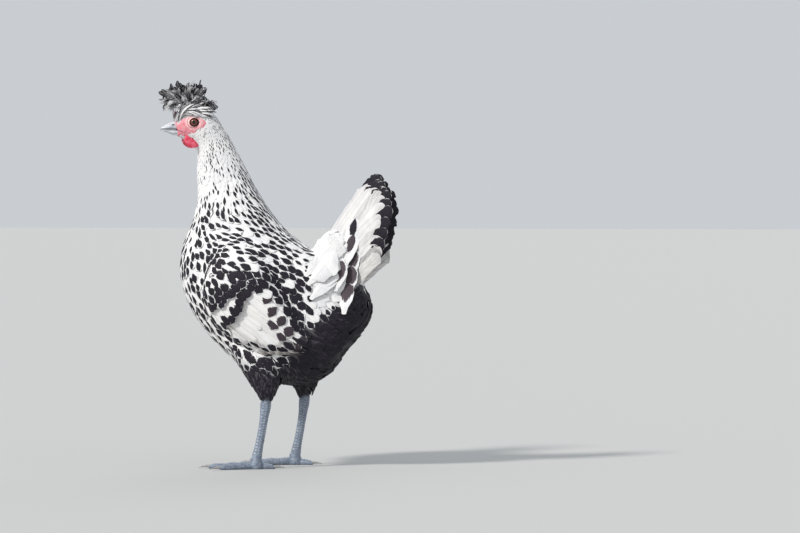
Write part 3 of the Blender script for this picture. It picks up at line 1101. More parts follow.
for side, mirror in (("L", 1), ("R", -1)):
    rng = np.random.default_rng(300)
    vanes, marks, tints = [], [], []
    for row_name, tip_line, count, length, width, heights, spangle, creamy, edged in FLIGHT_ROWS:
        shares = np.linspace(0, 1, count)
        tip_places = along(np.array(tip_line) * 0.001 + np.array((HEN_Y, 0)), shares)
        tip_places += rng.normal(0, 0.0013, tip_places.shape)
        tips = onto_side(tip_places, mirror)
        sway = rng.normal(0, 0.025, (count, 3))

        def ways_of(places, sway=sway):
            return WING_WAY + sway

        lengths = length * 0.001 * rng.uniform(0.97, 1.05, count)
        widths = np.full(count, width * 0.001)
        lift = np.linspace(*heights, count) * 0.001
        depth = np.full(count, 0.0045)
        row_vanes = lay_vanes(winged_form, tips, ways_of, widths, lengths, depth, lift, 12, 8, rng,
                              roundness=0.62, slim=0.7, fray=np.full(count, 0.04), arch=0.05)
        vanes.append(row_vanes)
        size = spangle[0] * 0.001 * rng.uniform(0.75, 1.2, count)
        marks.append(np.stack([size / lengths, spangle[1] * rng.uniform(0.9, 1.1, count),
                               rng.uniform(-0.05, 0.02, count), rng.random(count)], 1))
        dusky = 0.0 if row_name.endswith("bar") else 0.45
        tints.append(np.stack([np.full(count, creamy), np.full(count, edged), np.zeros(count),
                               np.full(count, dusky)], 1))
    wing = build_vanes("wing_feathers_" + side, as_one(vanes), np.concatenate(marks), np.concatenate(tints))
    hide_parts("wing_coverts_" + side, "wing_flights_" + side)

# -------------------------------------------------------------------------------------------------- tail
# Main feathers pitched like a tent: seven lines a side guide the fan, and the feathers lie on and between
# them. Each white outer web lies over a dark inner one that runs on past it as the black end of the fan.
# Spotted coverts lap over the roots.
TAIL_ROOTS = ((33, 210), (35, 206), (38, 202), (43, 197), (49, 191), (55, 185), (61, 179))
TAIL_TIPS = ((107, 319), (116, 326.5), (126, 322.5), (133, 308.5), (131, 284), (128, 261), (122, 240))
TAIL_SPREAD = (2.5, 6.0, 10.5, 15.5, 21.0, 26.5, 32.0)  # how far each tip stands off the middle plane
WHITE_REACH = (0.975, 0.94, 0.92, 0.905, 0.895, 0.88, 0.98)  # how far along it each outer web is white
FAN_PLACES = np.arange(len(TAIL_ROOTS))  # 0 is the top feather
TAIL_STEPS = 14  # points along each tail feather
TENT_SIDE = np.array((0.97, -0.1, 0.2))  # outward from the left side of the tent


def read_fan(places, rows):
    """Rows of a table with one row for each place in the fan, read between them."""
    return np.stack([np.interp(places, FAN_PLACES, column) for column in np.array(rows).T], 1)


def stand_up(out, flat, mirror):
    """Places in mm, how far out to one side and (y, z), brought to where they stand."""
    return np.concatenate([mirror * out[..., None], flat], axis=2) * 0.001 + HIP


def quill_line(places, reach, off, mirror):
    """Centre lines of tail feathers at those places in the fan, how far they reach, and how far outward."""
    root, tip = read_fan(places, TAIL_ROOTS), read_fan(places, TAIL_TIPS)
    spread = np.interp(places, FAN_PLACES, TAIL_SPREAD)
    along_quill = np.linspace(0.12, 1, TAIL_STEPS)[None] * reach[:, None]
    flat = root[:, None] + (tip - root)[:, None] * along_quill[..., None]
    bow = np.sin(along_quill * math.pi)[..., None] * np.array((-1.6, 1.2))
    out = spread[:, None] * along_quill + 1.2 + off[:, None]
    return stand_up(out, flat + bow, mirror)


def resample(line, shares):
    """The lines read at other shares of their length."""
    steps = np.linalg.norm(np.diff(line, axis=1), axis=2)
    walked = np.concatenate([np.zeros((len(line), 1)), np.cumsum(steps, axis=1)], axis=1)
    own = walked / walked[:, -1:]
    read = [[np.interp(want, have, axis) for axis in path.T] for path, have, want in zip(line, own, shares)]
    return np.array(read).transpose(0, 2, 1)


# layer: places in the fan, distance outward in mm, spangle length and width, ground, dark edge
TAIL_LAYERS = (
    ("inner web", np.linspace(0, 6, 14), 0.0, (36, 1.5), 0.34, 0.0),
    ("outer web", np.linspace(0.1, 6.0, 15), 1.3, (11, 0.7), 0.36, 0.15),
)
WEB_WIDTH = 16  # mm
for side, mirror in (("L", 1), ("R", -1)):
    rng = np.random.default_rng(400)
    vanes, marks, tints = [], [], []
    for layer_name, places_in_fan, off, spangle, dark, edged in TAIL_LAYERS:
        count = len(places_in_fan)
        inner_web = layer_name == "inner web"
        reach = 1.0 if inner_web else np.interp(places_in_fan, FAN_PLACES, WHITE_REACH)
        reach = reach * rng.uniform(0.945, 1.01, count)
        line = quill_line(places_in_fan, reach, off + np.linspace(0, 1.6, count), mirror)
        length = line_length(line)
        widths = WEB_WIDTH * 0.001 * rng.uniform(0.95, 1.05, count)
        shares = row_shares(TAIL_STEPS, tip_bend(widths, length, 0.8))
        line = resample(line, shares)
        ups = unit(np.broadcast_to(TENT_SIDE * (mirror, 1, 1), line.shape))
        vanes.append(free_vanes(line, ups, shares, widths, rng, columns=9, roundness=0.8, slim=0.3,
                                fray=rng.uniform(0.08, 0.3, count), arch=0.035, slant=0.4))
        has_end = (places_in_fan < 5.5) & (inner_web | (rng.random(count) < 0.5))
        size = spangle[0] * 0.001 * rng.uniform(0.8, 1.2, count) * has_end
        size = size * np.where(places_in_fan < 0.3, 0.35, 1.0)
        ground = dark + rng.uniform(-0.05, 0.05, count) + 0.09 * (places_in_fan > 5.5)
        marks.append(np.stack([size / length, np.full(count, spangle[1]), ground, rng.random(count)], 1))
        creamy = np.where(places_in_fan > 5.7, 0.16, rng.uniform(0, 0.12, count))
        tints.append(np.stack([creamy, np.full(count, edged), np.zeros(count), np.zeros(count)], 1))
    fan = build_vanes("tail_feathers_" + side, as_one(vanes), np.concatenate(marks), np.concatenate(tints))
    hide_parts("tail_fan_" + side)

# Coverts up the side of the tail, each ending in a dusky spot: one runs into the next down the fan
SPOTTED_TIPS = ((89, 279), (87.5, 261.5), (89, 243.5), (87, 226.5), (84, 207), (77, 232))
SPOT_STEEPER = (27, 27, 38, 40, 42, 36)  # degrees that each spotted one is steeper than the feathers below it
SPOT_WIDTHS = (0.5, 0.6, 0.8, 0.9, 1.05, 0.8)
SPOT_DUSK = (0.0, 0.5, 0.7, 0.8, 0.7, 0.85)  # how dusky each spot is, from black to grey
WHITE_TIPS = (
    (72, 262), (77, 249), (70, 240), (78, 235), (66, 230), (74, 222), (70, 214), (68, 252), (62, 240),
)
# Two broad white ones puff out over the fan's foot: root and tip (y, z) of each, then widths and lengths
PUFF_LINES = (((67, 237), (50, 210.5)), ((66, 243), (60, 214)))
PUFF_WIDTHS, PUFF_LENGTHS = (0.025, 0.024), (0.031, 0.029)
PUFF_MARKS = ((0, 0, 0.33, 0.3), (0, 0, 0.33, 0.7))
COVERT_SIDE = np.array((1, -0.1, 0.2))
PUFF_SIDE = np.array((1, -0.2, 0.1))
fan_lines = quill_line(np.linspace(0, 6, 25), np.ones(25), np.full(25, 2.2), 1) - HIP


def fan_side(flat):
    """How far out the tail's side or the rump stands at places (y, z) in mm, evened along each feather."""
    points = fan_lines.reshape(-1, 3) * 1000
    near = np.linalg.norm(flat[..., None, :] - points[:, 1:], axis=-1).argmin(axis=-1)
    out = points[near, 0]
    for k, (y, z) in enumerate(flat.reshape(-1, 2).tolist()):
        start = Vector((0.2, y * 0.001 + HEN_Y, z * 0.001))
        hit = winged_form.tree.ray_cast(start, Vector((-1, 0, 0)))[0]
        if hit is not None:
            out.reshape(-1)[k] = max(out.reshape(-1)[k], hit[0] * 1000)
    for _ in range(6):
        out[:, 1:-1] = (out[:, :-2] + 2 * out[:, 1:-1] + out[:, 2:]) / 4
    return out


for side, mirror in (("L", 1), ("R", -1)):
    rng = np.random.default_rng(410)
    tip = np.array(SPOTTED_TIPS + WHITE_TIPS, float)
    spotted = np.arange(len(tip)) < len(SPOTTED_TIPS)
    count, plain_ones = len(tip), np.zeros(len(WHITE_TIPS))
    below = np.clip((276 - tip[:, 1]) / 14 + 2.4, 1, 6)
    way = unit(read_fan(below, np.array(TAIL_TIPS) - np.array(TAIL_ROOTS)))
    steeper = np.radians(np.concatenate([SPOT_STEEPER, plain_ones]))
    way = np.stack([way[:, 0] * np.cos(steeper) - way[:, 1] * np.sin(steeper),
                    way[:, 0] * np.sin(steeper) + way[:, 1] * np.cos(steeper)], 1)
    lengths = np.clip((tip[:, 1] - 190) * 0.55, 34, 62)
    steps = np.linspace(0, 1, TAIL_STEPS)
    flat = tip[:, None] - way[:, None] * (lengths[:, None] * (1 - steps))[..., None]
    bulge = np.where(spotted, 0.5, 1.6)[:, None]
    out = fan_side(flat) + 0.6 + bulge * np.sin(steps * math.pi)
    order = (279 - tip[:, 1]) * np.where(spotted, 0.045, 0.022)
    out += (rng.uniform(0, 0.3, count) + order + 0.8 * spotted)[:, None]
    widths = np.where(spotted, 0.0165, 0.015)
    shares = row_shares(TAIL_STEPS, tip_bend(widths, lengths * 0.001, 0.8))
    line = resample(stand_up(out, flat, mirror), shares)
    ups = unit(np.broadcast_to(COVERT_SIDE * (mirror, 1, 1), line.shape))
    laid = free_vanes(line, ups, shares, widths, rng, columns=8, roundness=0.8,
                      fray=np.full(count, 0.08), arch=0.05)
    spots = spotted * rng.uniform(20, 24, count) / lengths
    spot_widths = np.concatenate([SPOT_WIDTHS, plain_ones])
    marks = np.stack([spots, spot_widths, rng.uniform(0.3, 0.4, count), rng.random(count)], 1)
    puff = np.array(PUFF_LINES)
    flat = puff[:, :1] + (puff[:, 1:] - puff[:, :1]) * steps[None, :, None]
    out = fan_side(flat) + 1.2 + 3.0 * np.sin(steps * math.pi * 0.9)[None]
    puff_widths = np.array(PUFF_WIDTHS)
    shares = row_shares(TAIL_STEPS, tip_bend(puff_widths, np.array(PUFF_LENGTHS), 0.62))
    line = resample(stand_up(out, flat, mirror), shares)
    ups = unit(np.broadcast_to(PUFF_SIDE * (mirror, 1, 1), line.shape))
    puffs = free_vanes(line, ups, shares, puff_widths, rng, columns=8, roundness=0.62, slim=0.5,
                       fray=np.full(len(puff), 0.1), arch=0.2)
    tints = np.zeros((count + len(puff), 4))
    tints[: len(SPOTTED_TIPS), 3] = SPOT_DUSK
    marks = np.concatenate([marks, PUFF_MARKS])
    coverts = build_vanes("tail_side_coverts_" + side, as_one((laid, puffs)), marks, tints)

# Short white feathers inside the tent of the fan, over the back of the tail's root
rng = np.random.default_rng(430)
tips = []
for up in np.linspace(0.214, 0.262, 9):
    for across in np.linspace(-0.015, 0.015, 6) + rng.normal(0, 0.001, 6):
        hit = plumage_form.tree.ray_cast(Vector((across, 0.2, up)), Vector((0, -1, 0)))[0]
        if hit is not None:
            tips.append(np.array(hit))
tips = np.array(tips)
count = len(tips)
sway = rng.normal(0, 0.08, (count, 3))


def ways_of(places, sway=sway):
    return np.array((0, 0.25, 1.0)) + sway


widths, lengths = np.full(count, 0.0095), rng.uniform(0.024, 0.03, count)
depth, lift = np.full(count, 0.0036), np.full(count, 0.0006)
vanes = lay_vanes(plumage_form, tips, ways_of, widths, lengths, depth, lift, 10, 7, rng,
                  roundness=0.8, fray=np.full(count, 0.1))
marks = np.stack([np.zeros(count), np.full(count, 0.5), rng.uniform(0.0, 0.2, count), rng.random(count)], 1)
inner_coverts = build_vanes("under_tail_coverts", vanes, marks, np.zeros((count, 4)))


# ------------------------------------------------------------------------------------------------- crest
# A tuft of long soft plumes on the crown. The front ones lean forward over the beak, the rest fan up and
# back, and the rear ones curl. They are charcoal with pale shafts, with a few grey and white ones in front.
crest_form = refine(cad_copy("crest_form", ("crest",)), 0.0015, 4)
crest_surface = Surface(crest_form)
bpy.data.objects.remove(crest_form)
CROWN = np.array((0, -0.098, 0.399))  # middle of the crest's root, in the head's own frame
PLUME_STEPS = 14  # points along each plume
OUTER_SPACING, OUTER_FOOT = 0.0043, 0.4005  # how close the tips lie over the form, and from which height up
INNER_SPACING, INNER_FOOT = 0.0056, 0.4025
CURL_OVER = 118  # how many plumes curl over
CURL_FORWARD, CURL_BY_COMB = 84, 34  # of them, those that curl forward, and of these the ones by the comb


def bent_line(base, middle, end):
    """Lines that leave each base towards its middle point and come in to its end."""
    steps = np.linspace(0, 1, PLUME_STEPS)[None, :, None]
    leaving = base[:, None] * (1 - steps) ** 2 + 2 * middle[:, None] * steps * (1 - steps)
    return leaving + end[:, None] * steps**2


rng = np.random.default_rng(500)
outer_tips = scatter(
    crest_surface, lambda p: np.full(len(p), OUTER_SPACING), lambda p: p[:, 2] > OUTER_FOOT, 501
)
inner_tips = scatter(
    crest_surface, lambda p: np.full(len(p), INNER_SPACING), lambda p: p[:, 2] > INNER_FOOT, 502
)
tips, tip_ups = crest_surface.settle(np.concatenate([outer_tips, inner_tips]))
inner = np.arange(len(tips)) >= len(outer_tips)
head_tips = in_head(tips)
head_ups = in_head(tips + tip_ups) - head_tips
count = len(tips)
base = (head_tips - CROWN) * (0.45, 0.35, 0) + CROWN
base += rng.normal(0, 0.001, base.shape)
outward = unit(head_tips - CROWN)
tip_ends = head_tips + outward * np.where(inner, -0.005, rng.uniform(-0.002, 0.002, count))[:, None]
head_y, head_z = head_tips[:, 1], head_tips[:, 2]
swept = np.clip((head_z - 0.412) / 0.012, 0, 1) * np.clip((head_y + 0.118) / 0.012, 0, 1)
tip_ends += swept[:, None] * np.array((0, 0.0028, -0.0012))
foremost = np.clip((-0.117 - head_y) / 0.008, 0, 1) * np.clip((0.424 - head_z) / 0.008, 0, 1)
tip_ends += foremost[:, None] * (outward * 0.004 + np.array((0, -0.001, -0.002)))

# Two tufts that curl over: one forward and down over the beak, one back and down over the nape
forward = np.arange(CURL_OVER) < CURL_FORWARD
by_comb = np.arange(CURL_OVER) < CURL_BY_COMB
across = rng.uniform(-1, 1, CURL_OVER)
over_base_y = np.where(forward, -0.107, -0.09) + rng.normal(0, 0.002, CURL_OVER)
over_base = np.stack([across * 0.005, over_base_y, np.full(CURL_OVER, 0.402)], 1)
forward_y, back_y = rng.uniform(-0.1335, -0.122, CURL_OVER), rng.uniform(-0.0765, -0.069, CURL_OVER)
forward_z, back_z = rng.uniform(0.3995, 0.4125, CURL_OVER), rng.uniform(0.3965, 0.408, CURL_OVER)
over_end = np.stack([across * np.where(forward, 0.014, 0.012), np.where(forward, forward_y, back_y),
                     np.where(forward, forward_z, back_z)], 1)
over_end[by_comb, 1] = rng.uniform(-0.1265, -0.113, CURL_BY_COMB)
over_end[by_comb, 2] = rng.uniform(0.3985, 0.408, CURL_BY_COMB)
over_ups = unit(np.stack([across * 0.6, np.where(forward, -0.45, 0.45), np.full(CURL_OVER, 0.8)], 1))
none_over = np.zeros(CURL_OVER)
base, tip_ends = np.concatenate([base, over_base]), np.concatenate([tip_ends, over_end])
head_tips, head_ups = np.concatenate([head_tips, over_end]), np.concatenate([head_ups, over_ups])
swept = np.concatenate([swept, none_over])
upright = np.concatenate([np.ones(count), none_over])[:, None]
count += CURL_OVER

# Each plume's line: it bends on the way to its tip, waves a little, and curls at the end
tip_ends[:, 1] += np.clip(-0.125 - tip_ends[:, 1], 0, None) * 0.38
reach = np.linalg.norm(tip_ends - base, axis=1)[:, None]
middle = (base + tip_ends) / 2 + (1 - upright) * reach * (head_ups * 0.5 + np.array((0, 0, 0.12)))
middle += upright * reach * (head_ups * 0.06 + np.array((0, 0, 0.24)))
middle += swept[:, None] * np.array((0, -0.005, 0.002))
line = bent_line(base, middle, tip_ends)
steps = np.linspace(0, 1, PLUME_STEPS)[None, :, None]
wave = np.sin(steps * math.pi * 2.2 + rng.uniform(0, 6, (count, 1, 1)))
line = line + rng.normal(0, 1, (count, 1, 3)) * 0.0012 * wave * steps
head_y, head_z = head_tips[:, 1], head_tips[:, 2]
rear = np.clip((head_y + 0.088) / 0.01, 0, 1)[:, None]
past = np.clip(steps - 0.6, 0, 1) ** 2 / 0.16
curl = np.array((0, -0.12, -0.16)) * rear * upright + rng.normal(0, 0.06, (count, 3))
line = line + curl[:, None] * reach[:, None] * past
length = line_length(line)
widths = rng.uniform(0.0044, 0.0076, count) * np.clip(length / 0.03, 0.6, 1.1)
shares = row_shares(PLUME_STEPS, tip_bend(widths, length, 1.3))
line = on_head(resample(line, shares))
ups = turn(np.broadcast_to(head_ups[:, None], line.shape), np.full(line.shape[:-1], HEAD_TURN))
ups = unit(ups + rng.normal(0, 0.15, (count, 1, 3)))
vanes = free_vanes(line, ups, shares, widths, rng, columns=8, roundness=1.5,
                   fray=np.full(count, 0.2), arch=0.07)
front = np.clip((-0.112 - head_y) / 0.008, 0, 1) * np.clip((0.420 - head_z) / 0.008, 0, 1)
low = np.clip((0.408 - head_z) / 0.005, 0, 1) * (head_y < -0.092)
dark_ones = rng.random(count) < 0.62 + 0.25 * front
ground = np.where(dark_ones, rng.uniform(0.52, 0.66, count) - 0.05 * front, 0.9)
ground = np.where(low * (rng.random(count) < 0.5) > 0.5, 0.5, ground)
ground[-CURL_OVER:][by_comb] = rng.uniform(0.2, 0.5, CURL_BY_COMB)
marks = np.stack([np.zeros(count), np.full(count, 0.5), ground, rng.random(count)], 1)
grey_streaks = rng.uniform(0.1, 0.5, count)
pale_shafts = (rng.random(count) < 0.6) * rng.uniform(0.4, 1.0, count)
tints = np.stack([np.zeros(count), np.zeros(count), grey_streaks, pale_shafts], 1)
crest = build_vanes("crest_plumes", vanes, marks, tints)
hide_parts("crest")

# White and grey strands that rise from the beak's root over the comb, others that sweep back over the eye,
# and thin ones that lie along the plumes of the crest
BROW_STRANDS, CREST_STRANDS = 128, 110
FOREHEAD_STRANDS = 72  # of the brow's, those in front of the comb
rng = np.random.default_rng(520)
on_plume = rng.choice(np.flatnonzero(head_y > -0.1265), CREST_STRANDS, replace=False)
over_crest_ups = ups[on_plume]
over_crest = line[on_plume] + over_crest_ups * 0.0012 + rng.normal(0, 0.0006, (CREST_STRANDS, 1, 3))
count = BROW_STRANDS
over_eye = np.arange(count) >= FOREHEAD_STRANDS
side_share = np.sign(rng.uniform(-1, 1, count)) * rng.random(count) ** 0.6
edge = np.sign(side_share)
base_y, base_z = rng.uniform(-0.1185, -0.112, count), rng.uniform(0.3875, 0.392, count)
base = np.stack([side_share * 0.0074, base_y, base_z], 1)
end_x, end_y = rng.uniform(0.0125, 0.0185, count), rng.uniform(-0.108, -0.086, count)
end = np.stack([side_share * end_x, end_y, rng.uniform(0.401, 0.417, count)], 1)
eye_x, eye_y = rng.uniform(0.0085, 0.011, count), rng.uniform(-0.112, -0.098, count)
eye_base = np.stack([edge * eye_x, eye_y, rng.uniform(0.3935, 0.3985, count)], 1)
end_x, end_y = rng.uniform(0.014, 0.0175, count), eye_y + rng.uniform(0.016, 0.028, count)
eye_end = np.stack([edge * end_x, end_y, rng.uniform(0.391, 0.402, count)], 1)
base = np.where(over_eye[:, None], eye_base, base)
end = np.where(over_eye[:, None], eye_end, end)
bulge = np.where(over_eye, 0.0015, 0.0068)[:, None]
middle = (base + end) / 2 + np.array((0, -1, 0.7)) * bulge + edge[:, None] * np.array((0.0042, 0, 0))
middle += over_eye[:, None] * np.array((0, 0, 0.0035))
line = bent_line(base, middle, end)
widths = rng.uniform(0.0014, 0.0024, count)
line = on_head(resample(line, row_shares(PLUME_STEPS, tip_bend(widths, line_length(line), 2.2))))
brow_ups = np.stack([edge, np.full(count, -0.5), np.full(count, 0.6)], 1)
brow_ups = turn(np.broadcast_to(brow_ups[:, None], line.shape), np.full(line.shape[:-1], HEAD_TURN))
line, ups = np.concatenate([line, over_crest]), np.concatenate([brow_ups, over_crest_ups])
over_eye = np.concatenate([over_eye, np.zeros(CREST_STRANDS, bool)])
short_of_tip = np.concatenate([np.ones(count), np.full(CREST_STRANDS, 0.88)])[:, None]
count += CREST_STRANDS
widths = np.concatenate([widths, rng.uniform(0.0009, 0.0016, CREST_STRANDS)])
shares = row_shares(PLUME_STEPS, tip_bend(widths, line_length(line), 2.2))
line = resample(line, shares * short_of_tip)
vanes = free_vanes(line, unit(ups), shares, widths, rng, columns=6, roundness=2.2, slim=0.45,
                   fray=np.full(count, 0.2), arch=0.05)
ground = np.where(rng.random(count) < 0.12 + 0.36 * over_eye, 0.75, 0.05)
marks = np.stack([np.zeros(count), np.full(count, 0.5), ground, rng.random(count)], 1)
tints = np.stack([np.zeros(count), np.full(count, 0.3), np.full(count, 0.8), np.full(count, 0.6)], 1)
strands = build_vanes("forehead_strands", vanes, marks, tints)


# ------------------------------------------------------------------------------------------------- eyes
# Amber eyes with a round black pupil and a dark rim, wet and bulging under the cornea, set between the lids.
# Each looks a little forward.
CORNEA_RADIUS, CORNEA_RISE = 0.0036, 0.0006
GAZE = (-0.12, 0.02)  # how far forward and up each eye looks, for one part outward
eye_material, tree, shader = new_material("eye")
from_pupil = node(tree, "ShaderNodeAttribute", attribute_name="from_pupil").outputs["Fac"]
place = node(tree, "ShaderNodeTexCoord").outputs["Object"]
rays = node(tree, "ShaderNodeTexNoise", {"Vector": place, "Scale": 1700.0, "Detail": 2.0}).outputs[0]
iris = mix(tree, rays, (0.07, 0.018, 0.012, 1), (0.26, 0.075, 0.035, 1))
iris = mix(tree, ramp(tree, from_pupil, 0.30, 0.42), (0.14, 0.04, 0.016, 1), iris)
iris = mix(tree, ramp(tree, from_pupil, 0.27, 0.3), (0.004, 0.004, 0.005, 1), iris)
iris = mix(tree, ramp(tree, from_pupil, 0.54, 0.64), iris, (0.02, 0.012, 0.01, 1))
tree.links.new(iris, shader.inputs["Base Color"])
shader.inputs["Roughness"].default_value = 0.25
shader.inputs["Specular IOR Level"].default_value = 0.2
shader.inputs["Coat Weight"].default_value = 0.6
shader.inputs["Coat Roughness"].default_value = 0.06
for side, mirror in (("L", 1), ("R", -1)):
    low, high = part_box("eye_" + side)
    bpy.ops.object.select_all(action="DESELECT")
    bpy.ops.mesh.primitive_uv_sphere_add(
        segments=48, ring_count=32, radius=EYE_RADIUS, location=(low + high) / 2
    )
    eye = bpy.context.object
    eye.name = "eyeball_" + side
    bpy.ops.object.transform_apply(location=True, rotation=False, scale=False)
    axis = turn(np.array([[mirror, *GAZE]], float), np.array([HEAD_TURN]))[0]
    axis /= np.linalg.norm(axis)
    middle = np.array((low + high) / 2)
    points = points_of(eye)
    off_axis = np.linalg.norm(np.cross(points - middle, axis), axis=1)
    facing = (points - middle) @ axis > 0
    cornea = np.clip(1 - off_axis / CORNEA_RADIUS, 0, 1) * facing * CORNEA_RISE
    points = points + unit(points - middle) * cornea[:, None]
    eye.data.vertices.foreach_set("co", points.reshape(-1).astype(np.float32))
    rim = eye.data.attributes.new("from_pupil", "FLOAT", "POINT")
    rim.data.foreach_set("value", np.where(facing, off_axis / EYE_RADIUS, 1.0).astype(np.float32))
    bpy.ops.object.shade_smooth()
    eye.data.materials.append(eye_material)
    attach(eye, "root")
    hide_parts("eye_" + side)

# -------------------------------------------------------------------------------------------------- beak
# A short blue-grey beak of smooth horn, hooked at the tip, with a slit nostril low in each side. Its root is
# moved back a little into the face.
beak_material, tree, shader = new_material("horn_beak")
place = node(tree, "ShaderNodeTexCoord").outputs["Object"]
grown_along = {"Vector": place, "Rotation": (0, 0, HEAD_TURN), "Scale": (500, 120, 700)}
grown = node(tree, "ShaderNodeMapping", grown_along).outputs[0]
layers = node(tree, "ShaderNodeTexNoise", {"Vector": grown, "Scale": 1.0, "Detail": 3.0}).outputs[0]
horn = mix(tree, ramp(tree, layers, 0.35, 0.65), (0.42, 0.45, 0.52, 1), (0.74, 0.74, 0.76, 1))
bill_tones = node(tree, "ShaderNodeAttribute", attribute_name="bill_tones").outputs["Color"]
dusky, pale, fleshy = node(tree, "ShaderNodeSeparateColor", {0: bill_tones}).outputs[:3]
horn = mix(tree, pale, horn, (0.84, 0.8, 0.82, 1))
horn = mix(tree, dusky, horn, (0.05, 0.05, 0.06, 1))
horn = mix(tree, fleshy, horn, (0.82, 0.4, 0.42, 1))
tree.links.new(horn, shader.inputs["Base Color"])
tree.links.new(ramp(tree, layers, 0.3, 0.7, 0.28, 0.42), shader.inputs["Roughness"])
bump = node(tree, "ShaderNodeBump", {"Height": layers, "Strength": 0.25, "Distance": 0.0003}).outputs[0]
tree.links.new(bump, shader.inputs["Normal"])
shader.inputs["Coat Weight"].default_value = 0.25
shader.inputs["Coat Roughness"].default_value = 0.2
BEAK_ROOT_Y = -0.1168
NOSTRIL_PLACE, NOSTRIL_SIZE = (-0.1197, 0.3832), (0.0021, 0.0008)  # y and z, half length and half height
for half, cutting_edge in (("upper", 0.3787), ("lower", 0.3775)):
    beak = cad_copy("bill_" + half, ("beak_" + half,), 0.0002)
    head_points = in_head(points_of(beak))
    head_points[head_points[:, 1] > BEAK_ROOT_Y, 1] += 0.0045
    beak.data.vertices.foreach_set("co", on_head(head_points).reshape(-1).astype(np.float32))
    refine(beak, 0.00035, 5)
    points = points_of(beak)
    head_points = in_head(points)
    nostril = np.linalg.norm((head_points[:, 1:] - NOSTRIL_PLACE) / NOSTRIL_SIZE, axis=1)
    sink = np.clip(1.25 - nostril, 0, 1) * (half == "upper") * (np.abs(head_points[:, 0]) > 0.002)
    gape = np.clip(1 - np.abs(head_points[:, 2] - cutting_edge) / 0.0007, 0, 1) * 0.8
    shift(beak, -0.0012 * sink)
    pale = np.clip((head_points[:, 2] - 0.3835) / 0.0035, 0, 1) * 0.75
    root_edge = -0.1182 + 0.0011 * noise_at(points, 500, 8) + 0.35 * np.abs(head_points[:, 2] - 0.3845)
    fleshy = np.clip((head_points[:, 1] - root_edge) / 0.0007, 0, 1)
    tones = np.stack([np.maximum(np.clip(sink * 1.5, 0, 1), gape), pale, fleshy, np.ones(len(points))], 1)
    layer = beak.data.color_attributes.new(name="bill_tones", type="FLOAT_COLOR", domain="POINT")
    layer.data.foreach_set("color", tones.reshape(-1).astype(np.float32))
    beak.data.polygons.foreach_set("use_smooth", np.ones(len(beak.data.polygons), bool))
    beak.data.materials.append(beak_material)
    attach(beak, "root")
    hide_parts("beak_" + half)

# ---------------------------------------------------------------------------------------------- leg scales
# The slate blue shanks and toes are clad in horny plates that overlap downwards: two rows of large ones down
# the front of the shank, small ones on its sides and back, and one row along the top of each toe.
scale_material, tree, shader = new_material("scale")
place = node(tree, "ShaderNodeTexCoord").outputs["Object"]
vane_uv = node(tree, "ShaderNodeUVMap", uv_map="Vane").outputs[0]
plate_random = node(tree, "ShaderNodeAttribute", attribute_name="mark").outputs["Alpha"]
across_plate, along_plate = node(tree, "ShaderNodeSeparateXYZ", {0: vane_uv}).outputs[:2]
blotch = node(tree, "ShaderNodeTexNoise", {"Vector": place, "Scale": 300.0, "Detail": 4.0}).outputs[0]
scaly = mix(tree, plate_random, (0.17, 0.21, 0.28, 1), (0.29, 0.34, 0.42, 1))
scaly = mix(tree, ramp(tree, blotch, 0.4, 0.65), scaly, (0.36, 0.4, 0.46, 1))
off_middle = maths(tree, "ABSOLUTE", maths(tree, "MULTIPLY_ADD", across_plate, 2.0, -1.0))
plate_rim = maths(tree, "MAXIMUM", off_middle, along_plate)
scaly = mix(tree, ramp(tree, plate_rim, 0.78, 0.97), scaly, (0.1, 0.12, 0.16, 1))
tree.links.new(scaly, shader.inputs["Base Color"])
tree.links.new(ramp(tree, blotch, 0.3, 0.7, 0.36, 0.5), shader.inputs["Roughness"])
bump = node(tree, "ShaderNodeBump", {"Height": blotch, "Strength": 0.3, "Distance": 0.0002}).outputs[0]
tree.links.new(bump, shader.inputs["Normal"])

